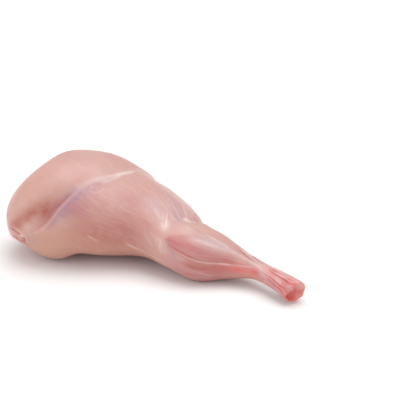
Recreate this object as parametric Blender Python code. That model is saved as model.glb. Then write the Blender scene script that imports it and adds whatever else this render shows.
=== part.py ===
"""Raw rabbit hind leg, lying on its flat inner side with the hock end to the right.

The leg is one piece of meat, lofted through named cross sections along its length.
Folds, seams and tendons are relief, raised or sunk square to the surface along short
paths, and the broad muscles are soft mounds. The underside is flat where the leg rests.

Sizes are in millimetres and turned into metres when the mesh is made. A place on the
surface is (along, around): millimetres from the rump end, and degrees round the section,
0 on the far side, 90 on top, 180 on the near side and 270 underneath.
"""

from dataclasses import dataclass

import bpy
import numpy as np

MM = 0.001                     # metres in a millimetre

LEG_LENGTH = 183.4             # rump end to the rim of the hock end
RUMP_ROUNDING = 28.0           # length over which the rump end closes
ROUNDING_FULLNESS = 2.2        # exponent of that rounding, 2 is an ellipse
SECTION_FULLNESS = 2.25        # exponent of the cross sections, 2 is an ellipse
RIM_ROUNDING = 2.2             # length over which the rim of the hock end turns in
DISH_SHARE = 0.80              # size of the hock end's dish, as a share of its section
DISH_DEPTH = 1.6               # how far the middle of the dish sinks in
HOCK_SLANT = 0.50              # lengthways shift of the cut, per millimetre across
HOCK_TILT = 0.15               # and per millimetre up
SLANT_START = 166.0            # where the sections start to lean into that cut

RUMP_RINGS = 18
BODY_RINGS = 80
RIM_RINGS = 4
DISH_RINGS = 3
RING_POINTS = 56
PATH_STEPS = 12                # straight steps between two places of a path
NARROWEST_FLANK = 0.65         # of a fold, as a share of the distance between ring points

MEAT_COLOUR = (0.66, 0.36, 0.31, 1.0)
MEAT_ROUGHNESS = 0.38


@dataclass(frozen=True)
class Station:
    """A cross section, square to the leg's length."""

    name: str
    along: float
    side: float                # middle of the section, minus is nearer
    half_width: float
    half_height: float
    clearance: float           # air under the section, minus is pressed flat


@dataclass(frozen=True)
class Fold:
    """A ridge, or a groove where rise is minus, along a path of surface places.

    Left and right are of the path on a chart with along to the right and around upwards.
    """

    name: str
    path: tuple[tuple[float, float], ...]
    rise: float
    left: float                # width of the left flank
    right: float
    fade_in: float = 0.25      # share of the path over which it starts
    fade_out: float = 0.25     # share over which it ends


@dataclass(frozen=True)
class Mound:
    """A soft swelling, or a hollow where rise is minus."""

    name: str
    along: float
    around: float
    rise: float
    length: float
    breadth: float


@dataclass(frozen=True)
class Lump:
    """A knob of joint, or a pit where rise is minus, on the cut hock end."""

    name: str
    across: float              # from the middle of the cut, plus is farther
    up: float
    rise: float
    radius: float


STATIONS = (
    Station("rump end", 0.0, -13.0, 23.0, 16.0, 4.5),
    Station("rump", 13.0, -9.5, 31.5, 24.0, 0.5),
    Station("hip", 28.0, -5.5, 36.5, 29.0, -0.8),
    Station("upper thigh", 46.5, 0.0, 37.5, 27.8, 1.4),
    Station("middle thigh", 65.0, 5.0, 33.5, 23.8, 2.2),
    Station("lower thigh", 85.5, 8.5, 24.5, 19.3, 3.1),
    Station("knee", 106.0, 3.7, 21.0, 15.0, 2.3),
    Station("calf", 123.0, 0.0, 16.2, 14.0, -0.5),
    Station("lower calf", 139.5, 3.7, 10.2, 9.4, 2.2),
    Station("shin", 154.5, 3.7, 5.6, 5.2, 5.1),
    Station("ankle", 169.0, -0.3, 5.7, 5.3, 4.3),
    Station("hock end", 188.5, -5.9, 6.5, 6.6, -0.5),
)

FOLDS = (
    Fold("rump fold",
         ((29, 193), (31.6, 190), (35.7, 186), (39.3, 179), (42.4, 170), (45.5, 159),
          (49.1, 146), (51.7, 135), (54.7, 124), (58, 114)),
         -3.0, 1.5, 8.0, fade_in=0.35, fade_out=0.35),
    Fold("rump hollow",
         ((12, 185), (18, 182), (24, 179), (30, 172), (35, 166), (41, 162)),
         -0.9, 3.4, 5.0, fade_in=0.3, fade_out=0.4),
    Fold("hip groove",
         ((12.5, 187), (17, 190), (21, 193), (24.7, 195.5), (26, 201), (25.6, 208)),
         -1.0, 0.9, 0.9, fade_in=0.3, fade_out=0.1),
    Fold("hip ridge", ((21, 186), (24, 187.5), (27.2, 193.5), (28.8, 199), (28, 207)),
         0.6, 0.9, 0.9),
    Fold("thigh band",
         ((53, 128), (57, 119), (60, 110), (63, 98), (65, 84), (68, 68), (71, 55)),
         0.5, 2.0, 2.0),
    Fold("knee fold",
         ((116, 0), (113.5, 20), (112.3, 34), (112, 52), (111.6, 70), (110.5, 88),
          (109, 99)),
         -2.6, 2.0, 2.6, fade_in=0.25, fade_out=0.55),
    Fold("knee cord", ((96, 104), (99.5, 108), (102.5, 117), (103.5, 130), (103.5, 140)),
         0.35, 2.0, 2.0),
    Fold("knee nub", ((98, 152), (101, 160), (104, 170), (103, 190)), 0.8, 1.8, 1.8),
    Fold("calf seam",
         ((107, 154), (111.8, 155), (117, 156), (122.6, 158), (128.8, 160), (134, 160.5),
          (139, 158), (144, 155), (149, 148), (154, 137)),
         -0.6, 1.3, 1.0, fade_in=0.1, fade_out=0.2),
    Fold("lower calf seam",
         ((113.4, 191), (119.6, 191), (123.2, 194), (127.8, 199), (131.9, 208)),
         -0.5, 1.4, 1.4),
    Fold("shin edge",
         ((110, 104), (115, 101), (121, 103), (130, 110), (138, 112), (145, 110),
          (152, 104)),
         0.45, 1.7, 1.7),
    Fold("far tendon",
         ((138, 56), (145, 71), (151, 86), (157, 102), (163, 112), (170, 118)),
         0.6, 1.3, 1.2, fade_in=0.2),
    Fold("far tendon groove",
         ((140, 74), (144.8, 84), (149, 94), (153.5, 103), (159.7, 120)),
         -0.7, 0.9, 0.9),
    Fold("silver tendon",
         ((146, 112), (151, 112), (156, 117), (161, 126), (167, 130), (174, 134),
          (180, 141)),
         0.7, 1.1, 1.1),
    Fold("outer tendon", ((147, 30), (152, 48), (159, 68), (167, 82), (176, 88)),
         0.6, 1.3, 1.3),
    Fold("far thigh seam",
         ((36, 30), (48, 14), (62, 4), (78, 0), (94, 2), (107, 8)),
         -1.5, 2.2, 5.0, fade_in=0.3, fade_out=0.3),
    Fold("far rump seam", ((12, -28), (24, -20), (38, -14), (52, -12), (64, -16)),
         -1.1, 4.0, 2.0, fade_in=0.3, fade_out=0.4),
    Fold("far calf seam", ((113, -4), (122, -10), (132, -10), (142, -2), (152, 12)),
         -0.8, 1.6, 1.6, fade_in=0.15),
    Fold("far shank tendon", ((140, -24), (150, -14), (160, -4), (170, 0), (180, -6)),
         0.6, 1.4, 1.4),
)

MOUNDS = (
    Mound("hip bulge", 39.5, 228.0, 3.4, 9.5, 9.0),
    Mound("hip cut", 19.0, 217.0, -2.2, 6.0, 12.0),
    Mound("thigh arch", 52.0, 242.0, -2.0, 5.5, 7.0),
    Mound("thigh crown", 53.0, 66.0, 0.8, 14.0, 14.0),
    Mound("hip strip", 16.5, 204.0, 1.2, 6.5, 4.0),
    Mound("hip notch", 25.4, 210.0, -1.6, 1.8, 4.5),
    Mound("rump corner", 28.0, 82.0, 1.2, 6.0, 12.0),
    Mound("rump flat", 14.0, 70.0, -2.0, 10.0, 16.0),
    Mound("hollow above the knee", 77.0, 36.0, -1.8, 6.0, 9.0),
    Mound("thigh muscle by the knee", 101.0, 46.0, 1.0, 7.0, 9.0),
    Mound("calf muscle by the knee", 128.0, 46.0, 1.3, 8.0, 9.0),
    Mound("white knob", 182.2, 139.0, 0.7, 1.8, 1.5),
)

LUMPS = (
    Lump("joint knob", 0.8, 0.6, 1.5, 2.2),
    Lump("near knob", -1.8, 1.4, 0.5, 1.8),
    Lump("marrow pit", -3.9, -0.8, -2.0, 1.8),
    Lump("lower marrow pit", -2.8, -3.0, -1.2, 1.2),
    Lump("small pit", -0.6, -3.6, -0.9, 0.9),
    Lump("far pit", 3.0, -0.8, -0.9, 1.0),
    Lump("upper pit", 0.6, 3.6, -0.6, 0.8),
    Lump("far lip", 3.8, 2.4, 0.5, 1.7),
    Lump("far lower lip", 4.0, -3.6, 0.5, 1.4),
    Lump("lower lip", 0.4, -5.6, 0.5, 1.5),
    Lump("near lower lip", -4.6, -4.2, 0.5, 1.2),
    Lump("near lip", -6.0, 0.8, 0.4, 1.2),
    Lump("top lip", 1.6, 5.0, 0.4, 1.2),
)


def smooth_curve(knots, values, at):
    """Smooth curve through (knots, values), read at the places given."""
    knots = np.asarray(knots, float)
    values = np.asarray(values, float)
    step = np.diff(knots)
    slope = np.diff(values) / step
    inner = (slope[:-1] * step[1:] + slope[1:] * step[:-1]) / (step[:-1] + step[1:])
    tangent = np.concatenate([slope[:1], inner, slope[-1:]])
    i = np.clip(np.searchsorted(knots, at) - 1, 0, len(step) - 1)
    t = (at - knots[i]) / step[i]
    start = (1 + 2 * t) * (1 - t) ** 2 * values[i] + t * (1 - t) ** 2 * step[i] * tangent[i]
    end = t * t * (3 - 2 * t) * values[i + 1] - t * t * (1 - t) * step[i] * tangent[i + 1]
    return start + end


def smooth_step(low, high, value):
    """0 below low, 1 above high, and a smooth ramp between them."""
    t = np.clip((value - low) / (high - low), 0.0, 1.0)
    return t * t * (3.0 - 2.0 * t)


def ring_places():
    """Place along the leg and share of the full section, for each ring in order."""
    rump = RUMP_ROUNDING * (1 - np.cos(np.linspace(0, np.pi / 2, RUMP_RINGS + 1)[1:]))
    rump_share = (1 - (1 - rump / RUMP_ROUNDING) ** ROUNDING_FULLNESS) ** (1 / ROUNDING_FULLNESS)
    body = np.linspace(RUMP_ROUNDING, LEG_LENGTH - RIM_ROUNDING, BODY_RINGS + 1)[1:]
    turn = np.linspace(0, np.pi / 2, RIM_RINGS + 1)[1:]
    rim = LEG_LENGTH - RIM_ROUNDING * (1 - np.sin(turn))
    rim_share = 1 - (1 - DISH_SHARE) * (1 - np.cos(turn))
    dish_share = np.linspace(DISH_SHARE, 0, DISH_RINGS + 2)[1:-1]
    dish = LEG_LENGTH - DISH_DEPTH * (1 - (dish_share / DISH_SHARE) ** 2)
    return (np.concatenate([rump, body, rim, dish]),
            np.concatenate([rump_share, np.ones(BODY_RINGS), rim_share, dish_share]))


def fold_relief(fold, along, around, radius):
    """Height of one fold at every place, from the distance to its path."""
    places = np.array(fold.path, float)
    steps = np.linspace(0, len(places) - 1, PATH_STEPS * (len(places) - 1) + 1)
    path_along, path_around = (smooth_curve(range(len(places)), places[:, k], steps) for k in (0, 1))
    nearest = np.full(along.shape, np.inf)
    share = np.zeros(along.shape)
    side = np.zeros(along.shape)
    for k in range(len(steps) - 1):
        offset = along - path_along[k]
        turned = np.radians((around - path_around[k] + 180) % 360 - 180) * radius
        run = path_along[k + 1] - path_along[k]
        swing = np.radians(path_around[k + 1] - path_around[k]) * radius
        t = np.clip((offset * run + turned * swing) / (run * run + swing * swing), 0, 1)
        distance = np.hypot(offset - t * run, turned - t * swing)
        closer = distance < nearest
        nearest = np.where(closer, distance, nearest)
        share = np.where(closer, (k + t) / (len(steps) - 1), share)
        side = np.where(closer, offset * swing - turned * run, side)
    narrowest = NARROWEST_FLANK * 2 * np.pi * radius / RING_POINTS
    width = np.maximum(np.where(side < 0, fold.left, fold.right), narrowest)
    ends = smooth_step(0, fold.fade_in, share) * smooth_step(0, fold.fade_out, 1 - share)
    return fold.rise * ends * np.exp(-(nearest / width) ** 2)


def mound_relief(mound, along, around, radius):
    """Height of one mound at every place."""
    turned = np.radians((around - mound.around + 180) % 360 - 180) * radius
    reach = ((along - mound.along) / mound.length) ** 2 + (turned / mound.breadth) ** 2
    return mound.rise * np.exp(-reach)


def leg_surface():
    """Points of the leg's surface as rings of points, in millimetres."""
    ring_along, ring_share = ring_places()
    knots = [station.along for station in STATIONS]

    def section(size):
        return smooth_curve(knots, [getattr(station, size) for station in STATIONS],
                            ring_along)[:, None]

    side, half_width = section("side"), section("half_width")
    half_height, clearance = section("half_height"), section("clearance")
    degrees = np.arange(RING_POINTS) * 360.0 / RING_POINTS
    across, up = np.cos(np.radians(degrees)), np.sin(np.radians(degrees))
    reach = (abs(across) ** SECTION_FULLNESS + abs(up) ** SECTION_FULLNESS) ** (-1 / SECTION_FULLNESS)
    share = ring_share[:, None]
    along = np.repeat(ring_along[:, None], RING_POINTS, axis=1)
    around = np.repeat(degrees[None, :], len(ring_along), axis=0)
    points = np.stack([along,
                       side + half_width * share * reach * across,
                       half_height + clearance + half_height * share * reach * up], axis=-1)

    lengthways = np.gradient(points, axis=0)
    roundways = np.roll(points, -1, axis=1) - np.roll(points, 1, axis=1)
    normal = np.cross(roundways, lengthways)
    normal /= np.linalg.norm(normal, axis=-1, keepdims=True)
    radius = (half_width + half_height) / 2
    relief = sum(fold_relief(fold, along, around, radius) for fold in FOLDS)
    relief = relief + sum(mound_relief(mound, along, around, radius) for mound in MOUNDS)
    points += normal * (relief * smooth_step(DISH_SHARE - 0.3, 1.0, share))[..., None]

    offset = points[..., 1] - side
    height = points[..., 2] - half_height - clearance
    lean = HOCK_SLANT * offset + HOCK_TILT * height
    points[..., 0] += lean * smooth_step(SLANT_START, LEG_LENGTH, along)
    on_cut = smooth_step(LEG_LENGTH - RIM_ROUNDING, LEG_LENGTH, along + DISH_DEPTH)
    for lump in LUMPS:
        spread = (offset - lump.across) ** 2 + (height - lump.up) ** 2
        points[..., 0] += lump.rise * on_cut * np.exp(-spread / lump.radius ** 2)
    points[..., 2] = np.maximum(points[..., 2], 0.0)
    return points


def add_leg(collection):
    """Leg object, its rings joined by triangles and closed by a point at each end."""
    rings = leg_surface()
    ring_count, point_count = rings.shape[:2]
    rump_point = rings[0].mean(axis=0) * (0.0, 1.0, 1.0)
    hock_point = rings[-1].mean(axis=0)
    points = np.concatenate([rings.reshape(-1, 3), rump_point[None], hock_point[None]])
    low, high = points.min(axis=0), points.max(axis=0)
    points -= ((low[0] + high[0]) / 2, (low[1] + high[1]) / 2, low[2])

    first = np.arange(point_count)
    following = np.roll(first, -1)
    starts = np.arange(ring_count - 1)[:, None] * point_count
    a, b = starts + first, starts + following
    c, d = b + point_count, a + point_count
    band = np.concatenate([np.stack([a, b, c], -1), np.stack([a, c, d], -1)]).reshape(-1, 3)
    rump_cap = np.stack([np.full(point_count, len(points) - 2), following, first], -1)
    last = (ring_count - 1) * point_count
    hock_cap = np.stack([np.full(point_count, len(points) - 1), last + first, last + following], -1)
    faces = np.concatenate([band, rump_cap, hock_cap])

    mesh = bpy.data.meshes.new("rabbit_leg")
    mesh.from_pydata((points * MM).tolist(), [], faces.tolist())
    mesh.shade_smooth()
    mesh.materials.append(meat_material())
    leg = bpy.data.objects.new("rabbit_leg", mesh)
    collection.objects.link(leg)
    return leg


def meat_material():
    """Moist raw meat."""
    material = bpy.data.materials.new("raw_meat")
    material.use_nodes = True
    surface = material.node_tree.nodes["Principled BSDF"]
    surface.inputs["Base Color"].default_value = MEAT_COLOUR
    surface.inputs["Roughness"].default_value = MEAT_ROUGHNESS
    surface.inputs["Metallic"].default_value = 0.0
    return material


def main():
    for old in list(bpy.data.objects):
        bpy.data.objects.remove(old)
    collection = bpy.data.collections.new("rabbit_leg")
    bpy.context.scene.collection.children.link(collection)
    add_leg(collection)


if __name__ == "__main__":
    main()
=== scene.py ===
"""Looks of a raw rabbit hind leg: its skinless muscles, silvery fascia, tendons and cut hock end.

The leg is one lofted surface. A place on it is (along, around): millimetres from the rump
end, and degrees round the section, 0 on the far side, 90 on top, 180 on the near side and
270 underneath. Sizes in the tables are millimetres, and the meshes are metres. A row of a
table gives the fields in the order in which its class lists them.
"""

import logging
import math
from dataclasses import dataclass
from enum import Enum

import bpy
import numpy as np
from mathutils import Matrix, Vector


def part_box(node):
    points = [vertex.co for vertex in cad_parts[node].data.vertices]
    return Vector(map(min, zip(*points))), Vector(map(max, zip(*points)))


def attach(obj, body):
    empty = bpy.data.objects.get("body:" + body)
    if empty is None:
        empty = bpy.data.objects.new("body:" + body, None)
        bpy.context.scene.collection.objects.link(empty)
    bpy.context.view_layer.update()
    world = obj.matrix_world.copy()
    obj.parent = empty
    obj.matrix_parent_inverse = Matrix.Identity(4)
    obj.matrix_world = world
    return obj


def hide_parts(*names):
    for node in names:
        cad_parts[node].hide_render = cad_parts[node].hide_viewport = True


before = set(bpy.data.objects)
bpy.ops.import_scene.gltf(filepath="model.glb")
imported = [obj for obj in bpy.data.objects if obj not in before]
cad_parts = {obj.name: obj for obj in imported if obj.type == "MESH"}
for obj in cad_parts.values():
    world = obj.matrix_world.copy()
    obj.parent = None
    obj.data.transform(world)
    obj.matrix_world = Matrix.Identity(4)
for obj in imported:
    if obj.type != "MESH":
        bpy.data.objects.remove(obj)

MM = 0.001
LOG = logging.getLogger("rabbit_leg")
Places = tuple[tuple[float, float], ...]
Shade = tuple[int, int, int]
Point = tuple[float, float, float]
Input = bpy.types.NodeSocket | float | tuple[float, ...]


# ---------------------------------------------------------------- curves and ramps


def smooth_curve(knots: np.ndarray, values: np.ndarray, at: np.ndarray) -> np.ndarray:
    """Smooth curve through some values: a cubic between each pair of knots, whose slope at
    a knot is the mean of the slopes on both sides, weighted by the nearer side.

    Args:
        knots: places of the values, in rising order.
        values: the values there.
        at: places to read the curve at.

    Returns:
        The curve's value at each place.
    """
    step = np.diff(knots)
    slope = np.diff(values) / step
    inner = (slope[:-1] * step[1:] + slope[1:] * step[:-1]) / (step[:-1] + step[1:])
    tangent = np.concatenate([slope[:1], inner, slope[-1:]])
    i = np.clip(np.searchsorted(knots, at) - 1, 0, len(step) - 1)
    t = (at - knots[i]) / step[i]
    start = (1 + 2 * t) * (1 - t) ** 2 * values[i] + t * (1 - t) ** 2 * step[i] * tangent[i]
    end = t * t * (3 - 2 * t) * values[i + 1] - t * t * (1 - t) * step[i] * tangent[i + 1]
    return start + end


def smooth_step(low: float, high: float, value: np.ndarray) -> np.ndarray:
    """0 below low, 1 above high, and the cubic 3t^2 - 2t^3 between them."""
    t = np.clip((value - low) / (high - low), 0.0, 1.0)
    return t * t * (3.0 - 2.0 * t)


def beside(path: Places, degrees: float) -> Places:
    """The same path, moved round the leg."""
    return tuple((along, around + degrees) for along, around in path)


# ---------------------------------------------------------------- the leg's own words


class Tissue(Enum):
    """What a painted stroke or patch of the surface is. Some tissues also carry painted shade or
    highlights.
    """

    CREAM = "cream"            # pale beige fat and thick film
    VEIN_AND_SHADE = "vein"              # bluish flesh under thin film, and painted shade beside the rump fold and on the lower calf
    FLESH = "flesh"            # deep pink muscle
    BLOOD_AND_SHADE = "blood"            # red-brown of raw edges, and painted shade in folds, creases, hollows and under the leg
    JOINT = "joint"            # orange-pink gristle
    FILM_AND_SHEEN = "film"              # white fascia, and painted highlights and sheen
    MARROW_AND_SHADE = "marrow"          # bright red of the cut bone, and painted shade under the hock end
    FIBRE = "fibre"            # where the muscle's fibres show


CREAM, VEIN_AND_SHADE, FLESH, BLOOD_AND_SHADE, JOINT, FILM_AND_SHEEN, MARROW_AND_SHADE, FIBRE = Tissue


@dataclass(frozen=True)
class Station:
    """A cross section, square to the leg's length."""

    name: str
    along: float
    side: float                # middle of the section, minus is nearer
    half_width: float
    half_height: float
    clearance: float           # air under the section, minus is pressed flat


@dataclass(frozen=True)
class Fold:
    """A ridge, or a groove where rise is minus, along a path of surface places.

    Left and right are of the path on a chart with along to the right and around upwards.
    """

    name: str
    path: Places
    rise: float
    left: float                # width of the left flank
    right: float
    fade_in: float = 0.25      # share of the path over which it starts
    fade_out: float = 0.25     # share over which it ends


@dataclass(frozen=True)
class Mound:
    """A soft swelling, or a hollow where rise is minus."""

    name: str
    along: float
    around: float
    rise: float
    length: float
    breadth: float


@dataclass(frozen=True)
class Lump:
    """A knob of joint on the cut hock end, a pit where rise is minus, or a flat stain."""

    name: str
    across: float              # from the middle of the cut, plus is farther
    up: float
    rise: float
    radius: float
    tissue: Tissue
    amount: float              # how much of the tissue shows at its middle, 1 is all


@dataclass(frozen=True)
class Stroke:
    """A streak of one tissue along a path of surface places, slightly raised or sunk.

    Its sides and ends are as a fold's.
    """

    name: str
    tissue: Tissue
    path: Places
    amount: float              # how much of the tissue shows at its middle, 1 is all
    left: float
    right: float
    rise: float = 0.0
    fade_in: float = 0.25
    fade_out: float = 0.25


@dataclass(frozen=True)
class Patch:
    """A soft-edged area of one tissue."""

    name: str
    tissue: Tissue
    along: float
    around: float
    amount: float
    length: float
    breadth: float
    turn: float = 0.0          # degrees from along towards around


BUNDLE_SLOT = (0.1, 0.9)       # where a stroke may lie in its own slot of the bundle
BUNDLE_START = (0.0, 0.35)     # share of the path at which a stroke may start
BUNDLE_END = (0.65, 1.0)       # and end
BUNDLE_STRENGTH = (0.45, 1.0)
BUNDLE_PLACES = 5              # places in the path of each stroke


@dataclass(frozen=True)
class Bundle:
    """Fine strokes of one tissue, spread from one path to another with as many places."""

    name: str
    tissue: Tissue
    first: Places
    last: Places
    count: int
    amount: float
    width: float
    rise: float
    seed: int

    def strokes(self) -> list[Stroke]:
        """The strokes. Each lies at its own share of the way from the first path to the
        last, starts and ends at its own places, and is fainter or stronger by chance."""
        draw = np.random.default_rng(self.seed)
        first, last = np.array(self.first, float), np.array(self.last, float)
        knots = np.arange(len(first))
        strokes = []
        for k in range(self.count):
            share = (k + draw.uniform(*BUNDLE_SLOT)) / self.count
            start, end = draw.uniform(*BUNDLE_START), draw.uniform(*BUNDLE_END)
            strength = draw.uniform(*BUNDLE_STRENGTH)
            at = np.linspace(start, end, BUNDLE_PLACES) * (len(first) - 1)
            between = (1 - share) * first + share * last
            path = np.stack([smooth_curve(knots, between[:, 0], at),
                             smooth_curve(knots, between[:, 1], at)], -1)
            strokes.append(Stroke(f"{self.name} {k}", self.tissue, path, self.amount * strength,
                                  self.width, self.width, self.rise * strength))
        return strokes


@dataclass
class Surface:
    """The leg's skin as a grid of rings, with the surface place of each point."""

    points: np.ndarray
    along: np.ndarray
    around: np.ndarray
    radius: np.ndarray         # mean of the section's half width and half height
    share: np.ndarray          # size of the ring, as a share of the full section
    across: np.ndarray         # from the middle of the section, plus is farther
    up: np.ndarray
    on_cut: np.ndarray         # 1 on the cut hock end, 0 elsewhere


BELL_REACH = 3.0               # widths from its middle at which a bell is as good as 0
LEAST_RADIUS = 1.0             # of a ring, for the degrees that a bell takes up on it
STROKE_STEPS = 8               # straight steps between two places of a stroke
FOLD_STEPS = 12                # and of a fold


def path_places(path: Places, steps_each: int) -> tuple[np.ndarray, np.ndarray]:
    """Smooth path through its places, as along and around of the ends of short steps."""
    places = np.array(path, float)
    steps = np.linspace(0, len(places) - 1, steps_each * (len(places) - 1) + 1)
    knots = np.arange(len(places))
    return smooth_curve(knots, places[:, 0], steps), smooth_curve(knots, places[:, 1], steps)


def path_profile(surface: Surface, line: Fold | Stroke, steps_each: int) -> np.ndarray:
    """Bell across a path: exp(-(distance / width)^2), with a width for each side of the
    path, times smooth ramps at its two ends. Only places near the path are worked out.

    Args:
        surface: the leg's grid.
        line: the fold or stroke, with its path, widths and fades.
        steps_each: straight steps between two places of the path.

    Returns:
        A value from 0 to 1 for each point of the grid.
    """
    path_along, path_around = path_places(line.path, steps_each)
    reach = BELL_REACH * max(line.left, line.right)
    middle = (path_around.min() + path_around.max()) / 2
    turned = (surface.around - middle + 180) % 360 - 180
    spread = np.degrees(reach / np.maximum(surface.radius * surface.share, LEAST_RADIUS))
    near = ((surface.along > path_along.min() - reach) & (surface.along < path_along.max() + reach)
            & (abs(turned) < (path_around.max() - path_around.min()) / 2 + spread))
    along = surface.along[near]
    around = turned[near] + middle
    radius = surface.radius[near]
    nearest = np.full(along.shape, np.inf)
    share = np.zeros(along.shape)
    side = np.zeros(along.shape)
    count = len(path_along) - 1
    for k in range(count):
        offset = along - path_along[k]
        swept = np.radians(around - path_around[k]) * radius
        run = path_along[k + 1] - path_along[k]
        swing = np.radians(path_around[k + 1] - path_around[k]) * radius
        t = np.clip((offset * run + swept * swing) / (run * run + swing * swing), 0, 1)
        distance = np.hypot(offset - t * run, swept - t * swing)
        closer = distance < nearest
        nearest = np.where(closer, distance, nearest)
        share = np.where(closer, (k + t) / count, share)
        side = np.where(closer, offset * swing - swept * run, side)
    width = np.where(side < 0, line.left, line.right)
    ends = smooth_step(0, line.fade_in, share) * smooth_step(0, line.fade_out, 1 - share)
    profile = np.zeros(surface.along.shape)
    profile[near] = ends * np.exp(-(nearest / width) ** 2)
    return profile


def spot_profile(surface: Surface, spot: Mound | Patch, turn: float = 0.0) -> np.ndarray:
    """Bell round a place, turned by some degrees from along towards around:
    exp(-(lengthways / length)^2 - (crossways / breadth)^2)."""
    offset = surface.along - spot.along
    swept = np.radians((surface.around - spot.around + 180) % 360 - 180) * surface.radius
    cosine, sine = math.cos(math.radians(turn)), math.sin(math.radians(turn))
    lengthways = (offset * cosine + swept * sine) / spot.length
    crossways = (swept * cosine - offset * sine) / spot.breadth
    return np.exp(-lengthways ** 2 - crossways ** 2)


def lump_profile(surface: Surface, lump: Lump) -> np.ndarray:
    """Bell on the cut: exp(-(distance / radius)^2), and nothing off the cut."""
    spread = (surface.across - lump.across) ** 2 + (surface.up - lump.up) ** 2
    return surface.on_cut * np.exp(-spread / lump.radius ** 2)


# ---------------------------------------------------------------- the form


# Paths that carry a fold of the form and also a stroke of colour.
RUMP_FOLD: Places = ((29, 193), (31.6, 190), (35.7, 186), (39.3, 179), (42.4, 170), (45.5, 159),
                     (49.1, 146), (51.7, 135), (54.7, 124), (58, 114))
HIP_GROOVE: Places = ((12.5, 187), (17, 190), (21, 193), (24.7, 195.5), (26, 201), (25.6, 208))
HIP_RIDGE: Places = ((21, 186), (24, 187.5), (27.2, 193.5), (28.8, 199), (28, 207))
FAR_THIGH_SEAM: Places = ((36, 30), (48, 14), (62, 4), (78, 0), (94, 2), (107, 8))
FAR_RUMP_SEAM: Places = ((12, -28), (24, -20), (38, -14), (52, -12), (64, -16))
FAR_CALF_SEAM: Places = ((113, -4), (122, -10), (132, -10), (142, -2), (152, 12))


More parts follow.
